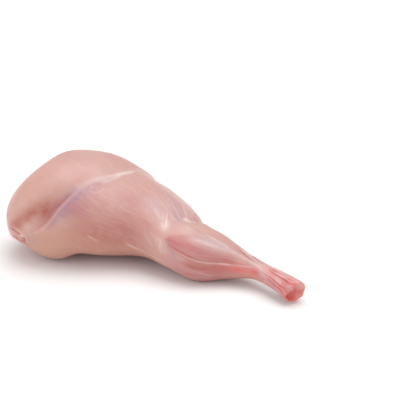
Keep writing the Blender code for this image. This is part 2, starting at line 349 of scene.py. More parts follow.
@dataclass
class LegForm:
    """The leg's surface: sections along its length, with folds, mounds and a cut end."""

    leg_length: float = 183.4
    rump_rounding: float = 28.0        # length over which the rump end closes
    rounding_fullness: float = 2.2     # exponent of that rounding, 2 is an ellipse
    section_fullness: float = 2.25     # exponent of the cross sections
    rim_rounding: float = 2.2          # length over which the hock end's rim turns in
    dish_share: float = 0.80           # size of the hock end's dish, as a share of the section
    dish_depth: float = 1.6
    dish_calm: float = 0.3             # more share, over which relief fades into the dish
    hock_slant: float = 0.50           # lengthways shift of the cut, per millimetre across
    hock_tilt: float = 0.15            # and per millimetre up
    slant_start: float = 166.0
    rump_rings: int = 42
    body_rings: int = 234
    rim_rings: int = 8
    dish_rings: int = 10
    ring_points: int = 320

    stations: tuple[Station, ...] = (
        Station("rump end", 0, -13, 23, 16, 4.5),
        Station("rump", 13, -9.5, 31.5, 24, 0.5),
        Station("hip", 28, -5.5, 36.5, 29, -0.8),
        Station("upper thigh", 46.5, 0, 37.5, 27.8, 1.4),
        Station("middle thigh", 65, 5, 33.5, 23.8, 2.2),
        Station("lower thigh", 85.5, 8.5, 24.5, 19.3, 3.1),
        Station("knee", 106, 3.7, 21, 15, 2.3),
        Station("calf", 123, 0, 16.2, 14, -0.5),
        Station("lower calf", 139.5, 3.7, 10.2, 9.4, 2.2),
        Station("shin", 154.5, 3.7, 5.6, 5.2, 5.1),
        Station("ankle", 169, -0.3, 5.7, 5.3, 4.3),
        Station("hock end", 188.5, -5.9, 6.5, 6.6, -0.5),
    )

    # Name, path, rise, left, right, fade_in, fade_out.
    folds: tuple[Fold, ...] = (
        Fold("rump fold", RUMP_FOLD, -3, 1.5, 8, 0.35, 0.35),
        Fold("rump hollow",
             ((12, 185), (18, 182), (24, 179), (30, 172), (35, 166), (41, 162)), -0.9, 3.4, 5, 0.3,
             0.4),
        Fold("hip groove", HIP_GROOVE, -1, 0.9, 0.9, 0.3, 0.1),
        Fold("hip ridge", HIP_RIDGE, 0.6, 0.9, 0.9),
        Fold("thigh band",
             ((53, 128), (57, 119), (60, 110), (63, 98), (65, 84), (68, 68), (71, 55)), 0.5, 2, 2),
        Fold("knee fold",
             ((116, 0), (113.5, 20), (112.3, 34), (112, 52), (111.6, 70), (110.5, 88), (109, 99)),
             -2.6, 2, 2.6, 0.25, 0.55),
        Fold("knee cord",
             ((96, 104), (99.5, 108), (102.5, 117), (103.5, 130), (103.5, 140)), 0.35, 2, 2),
        Fold("knee nub", ((98, 152), (101, 160), (104, 170), (103, 190)), 0.8, 1.8, 1.8),
        Fold("calf seam",
             ((107, 154), (111.8, 155), (117, 156), (122.6, 158), (128.8, 160), (134, 160.5),
              (139, 158), (144, 155), (149, 148), (154, 137)), -0.6, 1.3, 1, 0.1, 0.2),
        Fold("lower calf seam",
             ((113.4, 191), (119.6, 191), (123.2, 194), (127.8, 199), (131.9, 208)), -0.5, 1.4,
             1.4),
        Fold("shin edge",
             ((110, 104), (115, 101), (121, 103), (130, 110), (138, 112), (145, 110), (152, 104)),
             0.45, 1.7, 1.7),
        Fold("far tendon",
             ((138, 56), (145, 71), (151, 86), (157, 102), (163, 112), (170, 118)), 0.6, 1.3, 1.2,
             0.2),
        Fold("far tendon groove",
             ((140, 74), (144.8, 84), (149, 94), (153.5, 103), (159.7, 120)), -0.7, 0.9, 0.9),
        Fold("silver tendon",
             ((146, 112), (151, 112), (156, 117), (161, 126), (167, 130), (174, 134), (180, 141)),
             0.7, 1.1, 1.1),
        Fold("outer tendon",
             ((147, 30), (152, 48), (159, 68), (167, 82), (176, 88)), 0.6, 1.3, 1.3),
        Fold("far thigh seam", FAR_THIGH_SEAM, -1.5, 2.2, 5, 0.3, 0.3),
        Fold("far rump seam", FAR_RUMP_SEAM, -1.1, 4, 2, 0.3, 0.4),
        Fold("far calf seam", FAR_CALF_SEAM, -0.8, 1.6, 1.6, 0.15),
        Fold("far shank tendon",
             ((140, -24), (150, -14), (160, -4), (170, 0), (180, -6)), 0.6, 1.4, 1.4),
    )

    mounds: tuple[Mound, ...] = (
        Mound("hip bulge", 39.5, 228, 3.4, 9.5, 9),
        Mound("hip cut", 19, 217, -2.2, 6, 12),
        Mound("thigh arch", 52, 242, -2, 5.5, 7),
        Mound("thigh crown", 53, 66, 0.8, 14, 14),
        Mound("hip strip", 16.5, 204, 1.2, 6.5, 4),
        Mound("hip notch", 25.4, 210, -1.6, 1.8, 4.5),
        Mound("rump corner", 28, 82, 1.2, 6, 12),
        Mound("rump flat", 14, 70, -2, 10, 16),
        Mound("hollow above the knee", 77, 36, -1.8, 6, 9),
        Mound("thigh muscle by the knee", 101, 46, 1, 7, 9),
        Mound("calf muscle by the knee", 128, 46, 1.3, 8, 9),
        Mound("white knob", 182.2, 139, 0.7, 1.8, 1.5),
    )

    lumps: tuple[Lump, ...] = (
        Lump("joint knob", 0.8, 0.6, 1.5, 2.2, MARROW_AND_SHADE, 0.45),
        Lump("near knob", -1.8, 1.4, 0.5, 1.8, MARROW_AND_SHADE, 0.45),
        Lump("marrow pit", -3.9, -0.8, -2, 1.8, MARROW_AND_SHADE, 1),
        Lump("lower marrow pit", -2.8, -3, -1.2, 1.2, MARROW_AND_SHADE, 1),
        Lump("small pit", -0.6, -3.6, -0.9, 0.9, MARROW_AND_SHADE, 0.9),
        Lump("far pit", 3, -0.8, -0.9, 1, BLOOD_AND_SHADE, 0.7),
        Lump("upper pit", 0.6, 3.6, -0.6, 0.8, BLOOD_AND_SHADE, 0.5),
        Lump("far lip", 3.8, 2.4, 0.5, 1.7, JOINT, 0.8),
        Lump("far lower lip", 4, -3.6, 0.5, 1.4, JOINT, 0.8),
        Lump("lower lip", 0.4, -5.6, 0.5, 1.5, JOINT, 0.4),
        Lump("near lower lip", -4.6, -4.2, 0.5, 1.2, FILM_AND_SHEEN, 0.35),
        Lump("near lip", -6, 0.8, 0.4, 1.2, JOINT, 0.5),
        Lump("top lip", 1.6, 5, 0.4, 1.2, JOINT, 0.5),
    )

    def ring_places(self) -> tuple[np.ndarray, np.ndarray]:
        """Place of each ring along the leg, and its share of the full section.

        The rump closes as a superellipse, and the rings lie closer towards its tip. The rim
        of the hock end turns in as a quarter circle, and the dish is a shallow paraboloid.

        Returns:
            Two arrays, one value for each ring from the rump to the middle of the dish.
        """
        turn = np.linspace(0, np.pi / 2, self.rump_rings + 1)[1:]
        rump = self.rump_rounding * (1 - np.cos(turn))
        fullness = self.rounding_fullness
        rump_share = (1 - (1 - rump / self.rump_rounding) ** fullness) ** (1 / fullness)
        rim_start = self.leg_length - self.rim_rounding
        body = np.linspace(self.rump_rounding, rim_start, self.body_rings + 1)[1:]
        turn = np.linspace(0, np.pi / 2, self.rim_rings + 1)[1:]
        rim = self.leg_length - self.rim_rounding * (1 - np.sin(turn))
        rim_share = 1 - (1 - self.dish_share) * (1 - np.cos(turn))
        dish_share = np.linspace(self.dish_share, 0, self.dish_rings + 2)[1:-1]
        dish = self.leg_length - self.dish_depth * (1 - (dish_share / self.dish_share) ** 2)
        return (np.concatenate([rump, body, rim, dish]),
                np.concatenate([rump_share, np.ones(self.body_rings), rim_share, dish_share]))

    def section_size(self, size: str, at: np.ndarray) -> np.ndarray:
        """One size of the sections, read along the leg, as a column."""
        knots = np.array([station.along for station in self.stations], float)
        values = np.array([getattr(station, size) for station in self.stations], float)
        return smooth_curve(knots, values, at)[:, None]

    def surface(self, tissues: "LegTissues") -> Surface:
        """The leg's skin. A section is a superellipse, |across|^n + |up|^n = 1, at half
        sizes read along the leg. Folds and mounds move it square to itself, the cut end
        leans and is lumpy, and what would reach under the floor is pressed flat.

        Args:
            tissues: the strokes, whose low relief is added.

        Returns:
            The grid of rings, in millimetres from the rump's tip.
        """
        ring_along, ring_share = self.ring_places()
        side = self.section_size("side", ring_along)
        half_width = self.section_size("half_width", ring_along)
        half_height = self.section_size("half_height", ring_along)
        middle = half_height + self.section_size("clearance", ring_along)
        degrees = np.arange(self.ring_points) * 360.0 / self.ring_points
        across, up = np.cos(np.radians(degrees)), np.sin(np.radians(degrees))
        fullness = self.section_fullness
        reach = (abs(across) ** fullness + abs(up) ** fullness) ** (-1 / fullness)
        along = np.repeat(ring_along[:, None], self.ring_points, axis=1)
        around = np.repeat(degrees[None, :], len(ring_along), axis=0)
        share = np.repeat(ring_share[:, None], self.ring_points, axis=1)
        radius = np.repeat((half_width + half_height) / 2, self.ring_points, axis=1)
        points = np.stack([along, side + half_width * share * reach * across,
                           middle + half_height * share * reach * up], axis=-1)

        lengthways = np.gradient(points, axis=0)
        roundways = np.roll(points, -1, axis=1) - np.roll(points, 1, axis=1)
        normal = np.cross(roundways, lengthways)
        normal /= np.linalg.norm(normal, axis=-1, keepdims=True)
        on_cut = smooth_step(self.leg_length - self.rim_rounding, self.leg_length,
                             along + self.dish_depth)
        surface = Surface(points, along, around, radius, share, points[..., 1] - side,
                          points[..., 2] - middle, on_cut)
        relief = tissues.relief(surface)
        for fold in self.folds:
            relief += fold.rise * path_profile(surface, fold, FOLD_STEPS)
        for mound in self.mounds:
            relief += mound.rise * spot_profile(surface, mound)
        points += normal * (relief * smooth_step(self.dish_share - self.dish_calm, 1.0,
                                                 share))[..., None]
        self.shape_cut_end(surface)
        points[..., 2] = np.maximum(points[..., 2], 0.0)
        return surface

    def shape_cut_end(self, surface: Surface) -> None:
        """Leans the hock end: farther and higher points lie farther along. Its lumps and
        pits are bells across the cut."""
        lean = self.hock_slant * surface.across + self.hock_tilt * surface.up
        surface.points[..., 0] += lean * smooth_step(self.slant_start, self.leg_length,
                                                     surface.along)
        for lump in self.lumps:
            surface.points[..., 0] += lump.rise * lump_profile(surface, lump)


# ---------------------------------------------------------------- what the surface shows


@dataclass
class LegTissues:
    """Where the leg's tissues lie on its surface, and where shade and highlights are painted on
    it: strokes, patches, bundles of fine strokes and stains on the cut."""

    # Name, tissue, path, amount, left, right, rise, fade_in, fade_out.
    strokes: tuple[Stroke, ...] = (
        # The fold between rump and thigh: painted shade on its flank, in its line and beside it,
        # and its lilac crest, painted darker where it catches the light.
        Stroke("painted shade on the fold flank", BLOOD_AND_SHADE,
               ((37, 178), (40.5, 170), (43.5, 161), (47, 149), (50, 138), (53, 127)), 0.5, 1, 5,
               0, 0.3, 0.75),
        Stroke("fold shadow", VEIN_AND_SHADE, ((40, 177), *RUMP_FOLD[4:-1]), 0.7, 1.3, 2.2, 0, 0.3, 0.2),
        Stroke("painted shade in the fold line", BLOOD_AND_SHADE, RUMP_FOLD[1:-1], 0.75, 1, 0.8, 0, 0.45, 0.5),
        Stroke("fold crest", FILM_AND_SHEEN,
               ((37.2, 186.4), (40.5, 181.2), (44, 173), (47, 161), (50.3, 148), (53, 136),
                (56, 124.5)), 0.14, 0.4, 0.3, 0, 0.3, 0.1),
        Stroke("crest lilac", VEIN_AND_SHADE,
               ((38.8, 187.5), (42, 182.5), (45.4, 174.5), (48.4, 162.6), (51.6, 149.6),
                (54.3, 137.6), (56.6, 126)), 0.5, 1.2, 0.9, 0, 0.4, 0.2),
        Stroke("lower fold lilac", VEIN_AND_SHADE,
               ((37.5, 188), (41.6, 181.5), (44.7, 173), (47.6, 162), (50.5, 151)), 0.56, 4.8, 1.4,
               0, 0.9),
        Stroke("upper fold lilac", VEIN_AND_SHADE,
               ((44.5, 172), (47.5, 162), (50.5, 151), (53.4, 139), (56.2, 127), (58, 121)), 0.6,
               3.8, 1.4, 0, 0.3, 0.3),
        # Painted shade in the hollow under the rump's lobe.
        Stroke("hollow", BLOOD_AND_SHADE,
               ((11, 184), (17, 181), (23, 178), (29, 172), (34, 166), (39, 162), (44, 160)), 0.66,
               3.4, 5.5, 0, 0.3, 0.2),
        # The white strands that fan out of the fold over the thigh.
        Stroke("upper thigh strand", FILM_AND_SHEEN,
               ((54.4, 126.5), (58, 117.5), (61, 107.5), (63.9, 97.5), (66, 86.5), (67.2, 79),
                (68.9, 69), (71, 60)), 0.5, 0.6, 0.9, 0.16, 0.6, 0.3),
        Stroke("upper thigh strand's heart", FILM_AND_SHEEN,
               ((61, 105), (64, 97.5), (65.9, 88), (67.3, 79), (68.5, 72)), 0.75, 1, 0.9, 0.16,
               0.3, 0.35),
        Stroke("lower thigh strand", FILM_AND_SHEEN,
               ((56, 124.5), (59, 117), (62, 110), (64.4, 101), (66.2, 90), (67.5, 80)), 0.34,
               0.45, 0.45, 0.14, 0.3, 0.4),
        Stroke("thigh strand's tail", FILM_AND_SHEEN,
               ((60.3, 116.5), (62.6, 112), (64.3, 106), (65.5, 99), (66.5, 91)), 0.42, 0.5, 0.6,
               0.12, 0.35),
        Stroke("strand root", FILM_AND_SHEEN, ((50, 139), (53, 128), (57, 118), (61, 108)), 0.22, 1.8, 1.8),
        Stroke("strand lilac", VEIN_AND_SHADE,
               ((56, 122), (58.5, 114), (61.5, 106), (63, 100)), 0.4, 0.8, 0.8),
        Stroke("whirl's ring", FILM_AND_SHEEN,
               ((56.6, 127.5), (59.5, 129.5), (62.8, 127), (64, 121.5), (62.5, 117.5)), 0.24, 0.4,
               0.45),
        Stroke("whirl's inner ring", FILM_AND_SHEEN,
               ((58.2, 121.2), (60.4, 120.6), (61.5, 123), (60.6, 126)), 0.24, 0.35, 0.35),
        # Thin film along the thigh's far edge, down to the knee; it also paints a pale rim of
        # light where the thigh turns away.
        Stroke("far edge film", FILM_AND_SHEEN,
               ((60, 62), (68, 62), (76, 62), (84, 58), (91, 50), (98, 46), (104, 48), (111, 56)),
               0.35, 3.2, 3.2, 0, 0.3, 0.15),
        Stroke("far edge lilac", VEIN_AND_SHADE,
               ((80, 80), (86, 79), (92, 75), (97, 77), (101, 83), (105, 89), (109, 94)), 0.25,
               3.4, 3.4, 0, 0.4, 0.1),
        Stroke("wedge edge", BLOOD_AND_SHADE,
               ((95, 69), (98, 71), (102, 76), (106, 83), (109.8, 89)), 0.3, 0.4, 0.4, -0.1),
        Stroke("wedge's upper line", FILM_AND_SHEEN,
               ((99, 65), (103, 71), (106.5, 78), (109.5, 84)), 0.35, 0.4, 0.4, 0.1),
        Stroke("wedge's lower line", FILM_AND_SHEEN,
               ((95, 81), (99.5, 86), (104, 93), (108, 97.5)), 0.4, 0.4, 0.4, 0.1),
        Stroke("knee white streak", FILM_AND_SHEEN,
               ((106.5, 88), (109.5, 86), (112, 79), (115, 69)), 0.9, 0.8, 0.9, 0.2, 0.2, 0.5),
        # Painted shade in the knee's crease.
        Stroke("painted shade in the knee crease", BLOOD_AND_SHADE,
               ((109.5, 94), (112.4, 87), (114.5, 76), (116.3, 64)), 0.35, 0.5, 0.5),
        # The knee's pale cords and knots.
        Stroke("knee strand", FILM_AND_SHEEN,
               ((95, 98), (98, 102), (100, 112), (101.8, 121), (103.2, 130)), 0.22, 1, 1, 0.06,
               0.5, 0.2),
        Stroke("knee wedge strand", FILM_AND_SHEEN,
               ((98.5, 98), (101.5, 104), (103.1, 110), (103.4, 116), (103.6, 124)), 0.25, 0.45,
               0.45, 0.08),
        Stroke("knee wedge side", FILM_AND_SHEEN,
               ((99, 98.5), (101.5, 101.5), (104, 103), (107, 103.5)), 0.25, 0.4, 0.4, 0.1),
        Stroke("knee cord", FILM_AND_SHEEN,
               ((103, 133), (100.7, 130), (98.9, 120), (97, 108)), 0.5, 0.5, 0.45, 0.12, 0.25,
               0.4),
        Stroke("second knee cord", FILM_AND_SHEEN,
               ((103.4, 130), (102, 124), (100.3, 112), (99, 102)), 0.5, 0.45, 0.4, 0.12, 0.25,
               0.4),
        Stroke("knee cord's shade", BLOOD_AND_SHADE,
               ((102, 129), (100.4, 122), (98.9, 113), (97.9, 105)), 0.25, 0.4, 0.4, -0.08),
        Stroke("knee fan line", FILM_AND_SHEEN,
               ((99, 103), (101, 105), (103.4, 106.5), (106.6, 105)), 0.42, 0.4, 0.4, 0.1),
        Stroke("knee wisp", FILM_AND_SHEEN,
               ((91, 157), (93.5, 164), (96.5, 172), (99, 179)), 0.15, 0.7, 0.5, 0.05),
        Stroke("lower knee cord", FILM_AND_SHEEN,
               ((101.8, 151), (101, 157), (100.4, 164), (100.2, 173)), 0.36, 0.5, 0.5, 0.12, 0.25,
               0.4),
        Stroke("second lower knee cord", FILM_AND_SHEEN,
               ((102.6, 148), (103, 155), (104.4, 160), (106.4, 163)), 0.42, 0.45, 0.45, 0.12,
               0.25, 0.4),
        Stroke("knee side strand", FILM_AND_SHEEN,
               ((90, 116), (95, 121), (99, 130), (102.6, 141)), 0.2, 1.2, 1.2, 0.06),
        Stroke("lower knee strand", CREAM,
               ((101, 152), (102.5, 160), (102.8, 168), (104.5, 176), (105, 186)), 0.6, 1.3, 1.3,
               0.14),
        Stroke("lower knee loop", FILM_AND_SHEEN,
               ((102.5, 150), (103.6, 158), (104.4, 166), (105.5, 175), (105, 186)), 0.26, 0.5,
               0.5, 0.1),
        Stroke("knee edge", FILM_AND_SHEEN,
               ((85, 198), (89, 200), (92.5, 203), (96, 202.4), (99, 202), (103, 200.6),
                (107, 202), (112, 206)), 0.34, 0.6, 0.9, 0.1, 0.2, 0.4),
        Stroke("calf muscle edge", FLESH,
               ((105.5, 151), (107, 144), (110, 134.5), (114.4, 125), (118, 117), (121, 110)),
               0.62, 4.4, 0.9, 0, 0.06, 0.45),
        Stroke("calf muscle", FLESH,
               ((106.5, 150), (112, 145), (118, 140), (125, 140), (133, 145), (141, 148),
                (149, 142)), 0.75, 3, 3.4, 0, 0.06, 0.2),
        Stroke("calf's middle red", FLESH,
               ((108, 156), (112.5, 154), (117.5, 156), (123.5, 159), (130, 161)), 0.62, 2.2, 2.4,
               0, 0.2, 0.4),
        Stroke("calf's middle blush", MARROW_AND_SHADE, ((113, 155), (117.5, 157), (123, 160)), 0.1, 2, 2.2),
        Stroke("calf muscle's bloom", MARROW_AND_SHADE,
               ((109, 147), (113.4, 139), (119, 138), (126, 141)), 0.12, 3, 3),
        # Silvery fascia over the calf, partly painted sheen where the light falls on it.
        Stroke("upper silver streak", FILM_AND_SHEEN,
               ((119, 104), (121.6, 100), (126, 96), (129.3, 97), (135.5, 102), (140.6, 111),
                (144.5, 111), (148.4, 110), (152, 112)), 0.34, 1.3, 1, 0, 0.45, 0.1),
        Stroke("lower silver streak", FILM_AND_SHEEN,
               ((117.5, 123), (120, 121), (125.2, 116), (129, 117), (132.9, 118.5), (138.6, 121),
                (143, 120)), 0.32, 1, 1, 0, 0.3, 0.35),
        Stroke("silver line", VEIN_AND_SHADE,
               ((120, 112), (126, 108), (131.9, 112), (137, 115), (142, 114)), 0.4, 0.6, 0.6),
        Stroke("calf line", FILM_AND_SHEEN,
               ((105.2, 162), (109.3, 159), (112.4, 159), (116.5, 159.5), (121.1, 161.5),
                (125.7, 164), (128.8, 165), (133.4, 165), (139.1, 162), (144.2, 159), (149.4, 151),
                (154, 139), (158, 131)), 0.38, 0.36, 0.36, 0.1, 0.6, 0.1),
        # A painted highlight on the calf line.
        Stroke("painted highlight on the calf line", FILM_AND_SHEEN,
               ((136, 164), (139, 162.5), (143, 160)), 0.4, 0.6, 0.6, 0.08),
        Stroke("calf line shade", BLOOD_AND_SHADE,
               ((108, 153), (111.8, 155), (117, 156), (122.6, 158), (128.8, 160), (134, 160.5),
                (140, 157.5), (146, 153)), 0.45, 0.45, 0.5),
        Stroke("lower calf line", FILM_AND_SHEEN,
               ((112, 184), (116.5, 187), (119.6, 187.5), (123.2, 190), (127.8, 196), (131.9, 203),
                (136, 205)), 0.3, 0.4, 0.4, 0.12),
        Stroke("second lower calf line", FILM_AND_SHEEN,
               ((114, 190), (118, 192.5), (123, 196), (129, 201), (135, 206)), 0.2, 0.35, 0.35,
               0.1),
        Stroke("lower calf shade", VEIN_AND_SHADE,
               ((112.5, 193), (116.4, 193), (122.4, 197), (129.5, 203), (136.6, 209)), 0.2, 1.5,
               1),
        Stroke("red calf strip", BLOOD_AND_SHADE,
               ((118, 175), (122, 175), (127, 177), (134.5, 179), (141, 177), (146.3, 172)), 0.55,
               2.2, 2.4, 0, 0.25, 0.4),
        Stroke("lower calf red", FLESH,
               ((113, 176), (120, 180), (128, 184), (137, 187), (146, 180), (154, 170),
                (160, 166)), 0.6, 3, 3, 0, 0.25, 0.35),
        Stroke("shank red", MARROW_AND_SHADE,
               ((122, 178), (132, 181), (140, 180), (148, 174), (155, 166), (162, 160)), 0.2, 2.6,
               2.6),
        # Tendons over the shank and the ankle.
        Stroke("far tendon", FILM_AND_SHEEN,
               ((139, 60), (145, 72), (151, 86), (157, 102), (162, 111)), 0.45, 0.7, 0.7, 0, 0.3),
        Stroke("far tendon shade", BLOOD_AND_SHADE,
               ((141, 76), (144.8, 84), (149, 94), (153.5, 103), (159.7, 120)), 0.5, 0.5, 0.5),
        Stroke("silver tendon", FILM_AND_SHEEN,
               ((150, 113), (153, 113), (156.5, 118), (159.2, 122)), 0.7, 1.3, 0.8, 0, 0.3, 0.1),
        Stroke("white knot", FILM_AND_SHEEN,
               ((157.5, 124), (160.5, 127), (163, 132), (165, 138)), 0.85, 1.4, 1.2, 0.3),
        Stroke("near ankle strip", FILM_AND_SHEEN,
               ((161, 136), (165.5, 146), (169.4, 159), (174.7, 164), (181.6, 164)), 0.9, 0.6, 0.7,
               0.3, 0.15, 0.3),
        Stroke("middle ankle strip", FILM_AND_SHEEN,
               ((163, 129), (166.5, 134), (170.7, 142), (176.6, 144), (180.6, 150)), 0.85, 0.9,
               0.8, 0.3, 0.15, 0.3),
        Stroke("second middle strip", FILM_AND_SHEEN,
               ((165, 121), (169, 125), (173.5, 128), (178, 128)), 0.8, 0.5, 0.5, 0.25),
        Stroke("knob strip", FILM_AND_SHEEN,
               ((171, 106), (175, 108), (179, 107), (183, 104)), 0.85, 0.5, 0.5, 0.3, 0.25, 0.1),
        Stroke("upper ankle strip", FILM_AND_SHEEN,
               ((160, 100), (164, 98), (168, 98), (172, 98), (176, 96), (180, 90)), 0.85, 0.5, 0.5,
               0.25),
        Stroke("top ankle strip", FILM_AND_SHEEN,
               ((160, 91), (165.5, 95), (172, 83), (178, 78), (182, 76)), 0.7, 0.55, 0.55, 0.2),
        Stroke("pale ankle band", FILM_AND_SHEEN,
               ((160, 112), (164, 126), (168, 124), (172, 108), (176, 102), (183, 98)), 0.5, 2.4,
               2.2, 0, 0.1, 0.1),
        Stroke("ankle line", MARROW_AND_SHADE,
               ((163, 112), (167, 116), (172.7, 120), (177.3, 119), (181.6, 116)), 0.8, 0.55, 0.5,
               -0.35),
        Stroke("lower ankle line", MARROW_AND_SHADE,
               ((165, 154), (169, 166), (174, 172), (179, 173)), 0.65, 0.7, 0.7, -0.25),
        Stroke("between the strips", MARROW_AND_SHADE,
               ((166, 141), (170, 151), (175, 155), (180, 156)), 0.65, 0.5, 0.5, -0.25),
        Stroke("ankle top line", MARROW_AND_SHADE,
               ((161, 95), (166, 99), (172, 95), (178, 91)), 0.65, 0.5, 0.5, -0.25),
        Stroke("line beside the knob", MARROW_AND_SHADE,
               ((173.3, 116), (176, 117), (178.6, 117), (181.2, 118), (182.6, 112), (183.4, 106)),
               0.8, 0.45, 0.45, -0.25, 0.2, 0.05),
        Stroke("line before the knob", MARROW_AND_SHADE,
               ((176, 150), (179, 152), (181.5, 156), (183.3, 160)), 0.6, 0.5, 0.5, -0.2, 0.3,
               0.05),
        Stroke("spoke", MARROW_AND_SHADE,
               ((178, 97), (180.6, 100), (182.4, 98), (183.4, 96)), 0.6, 0.4, 0.4, -0.2, 0.3,
               0.05),
        Stroke("second spoke", MARROW_AND_SHADE,
               ((178.5, 78), (181, 76), (182.6, 72), (183.4, 68)), 0.6, 0.4, 0.4, -0.2, 0.3, 0.05),
        Stroke("ankle lilac", VEIN_AND_SHADE, ((163, 192), (168, 196), (174, 190)), 0.35, 1.5, 1.5),
        Stroke("far end strip", FILM_AND_SHEEN,
               ((175, 92), (178.5, 96), (181.5, 94), (183.4, 90)), 0.7, 0.5, 0.5, 0.22, 0.25,
               0.05),
        Stroke("second far end strip", FILM_AND_SHEEN,
               ((176, 82), (179.5, 83), (182.2, 80), (183.4, 72)), 0.7, 0.5, 0.5, 0.22, 0.25,
               0.05),
        Stroke("third far end strip", FILM_AND_SHEEN,
               ((177, 68), (180, 66), (182.4, 62), (183.4, 54)), 0.7, 0.5, 0.5, 0.22, 0.25, 0.05),
        # The hip's cut strip and the wrinkled film beside it, with painted shade in its groove and
        # painted highlights on the strip and the ridge.
        Stroke("hip strip", FLESH, ((7, 203), (12, 206), (18, 205), (24, 202)), 1, 3.6, 3),
        Stroke("hip strip's blush", MARROW_AND_SHADE,
               ((8, 199), (13, 202), (19, 204), (24, 203)), 0.4, 2.6, 2.6),
        Stroke("hip strip's red end", MARROW_AND_SHADE,
               ((16, 208), (19.5, 207.5), (22.5, 206.5), (25.2, 204.5)), 0.6, 1.6, 1.6, 0, 0.5,
               0.1),
        Stroke("hip groove", BLOOD_AND_SHADE, HIP_GROOVE, 1, 0.8, 0.8, 0, 0.2, 0.1),
        Stroke("painted highlight on the hip strip", FILM_AND_SHEEN,
               ((12.5, 194.5), (14.5, 198), (17, 204), (19, 211)), 1, 0.7, 0.6, 0.25),
        Stroke("second painted highlight on the hip strip", FILM_AND_SHEEN,
               ((9, 206), (12, 211), (15.5, 217)), 0.7, 0.6, 0.6, 0.15),
        Stroke("hip ridge", FILM_AND_SHEEN, HIP_RIDGE, 0.22, 0.6, 0.6),
        Stroke("painted highlight on the hip ridge", FILM_AND_SHEEN,
               ((23.4, 194), (24.9, 196.5), (27, 198)), 1, 0.8, 0.7, 0.25, 0.1, 0.1),
        Stroke("hip film wrinkle", FILM_AND_SHEEN,
               ((29.3, 187), (31, 192), (31.5, 198), (30.5, 204)), 0.16, 0.6, 0.6, 0.08),
        Stroke("hip film's second wrinkle", FILM_AND_SHEEN,
               ((25.6, 199), (26.8, 201), (27, 204), (26.4, 208)), 0.7, 0.4, 0.4, 0.2),
        # The far side: the seams between its muscles, with painted shade in them and film along
        # them.
        Stroke("far thigh seam", BLOOD_AND_SHADE, FAR_THIGH_SEAM, 0.6, 0.7, 1.6),
        Stroke("far thigh seam's film", FILM_AND_SHEEN, beside(FAR_THIGH_SEAM, 3), 0.4, 0.6, 0.5, 0.1),
        Stroke("far thigh lilac", VEIN_AND_SHADE,
               ((36, 35), (48, 19), (62, 9), (78, 5), (92, 7)), 0.6, 5, 1),
        Stroke("far rump seam", BLOOD_AND_SHADE, FAR_RUMP_SEAM, 0.6, 1.6, 0.7),
        Stroke("far rump seam's film", FILM_AND_SHEEN, beside(FAR_RUMP_SEAM, -3), 0.35, 0.5, 0.5, 0.1),
        Stroke("far rump lilac", VEIN_AND_SHADE, ((14, -32), (26, -24), (40, -19), (54, -17)), 0.5, 1, 5),
        Stroke("far thigh strand", FILM_AND_SHEEN,
               ((58, 54), (70, 45), (83, 37), (95, 31), (106, 29)), 0.45, 0.7, 1.2, 0.12),
        Stroke("far knee band", FILM_AND_SHEEN,
               ((112, 50), (111, 34), (111.5, 18), (113, 4), (114, -12)), 0.45, 1, 1.5, 0.12),
        Stroke("far calf seam", BLOOD_AND_SHADE, FAR_CALF_SEAM, 0.55, 0.6, 0.6),
        Stroke("far calf seam's film", FILM_AND_SHEEN,
               ((112, -1), *beside(FAR_CALF_SEAM[1:], 3), (160, 24)), 0.45, 0.4, 0.4, 0.12),
        Stroke("far calf muscle", FLESH,
               ((113, 14), (121, 10), (131, 10), (141, 14), (150, 24)), 0.75, 4.6, 3),
        Stroke("far shank tendon", FILM_AND_SHEEN,
               ((138, -26), (146, -18), (154, -9), (162, -2), (172, 0), (181, -6)), 0.55, 0.7, 0.7,
               0.15),
        Stroke("inner vein", VEIN_AND_SHADE,
               ((20, -62), (34, -58), (48, -60), (62, -66), (76, -68), (90, -62), (102, -52),
                (112, -44)), 0.7, 0.7, 0.7, 0.12),
        Stroke("inner vein's branch", VEIN_AND_SHADE,
               ((60, -65), (70, -56), (80, -50), (88, -49)), 0.5, 0.5, 0.5, 0, 0.05),
        Stroke("inner vein's second branch", VEIN_AND_SHADE,
               ((46, -60), (54, -72), (62, -82), (70, -90)), 0.5, 0.5, 0.5, 0, 0.05),
        # Painted shade where the leg turns under towards the floor.
        Stroke("painted shade at the thigh's lower edge", BLOOD_AND_SHADE,
               ((42, 240), (50, 240), (60, 241), (70, 244), (80, 242), (92, 234), (104, 228),
                (112, 228)), 0.85, 3, 5, 0, 0.1, 0.4),
        Stroke("painted shade at the hip's lower edge", BLOOD_AND_SHADE,
               ((24, 230), (31, 236), (38, 238), (46, 240)), 0.6, 3, 2.4),
        Stroke("painted shade at the calf's lower edge", BLOOD_AND_SHADE,
               ((108, 230), (120, 238), (130, 250), (141, 252), (153, 250), (165, 240)), 0.75, 2,
               2.2),
    )

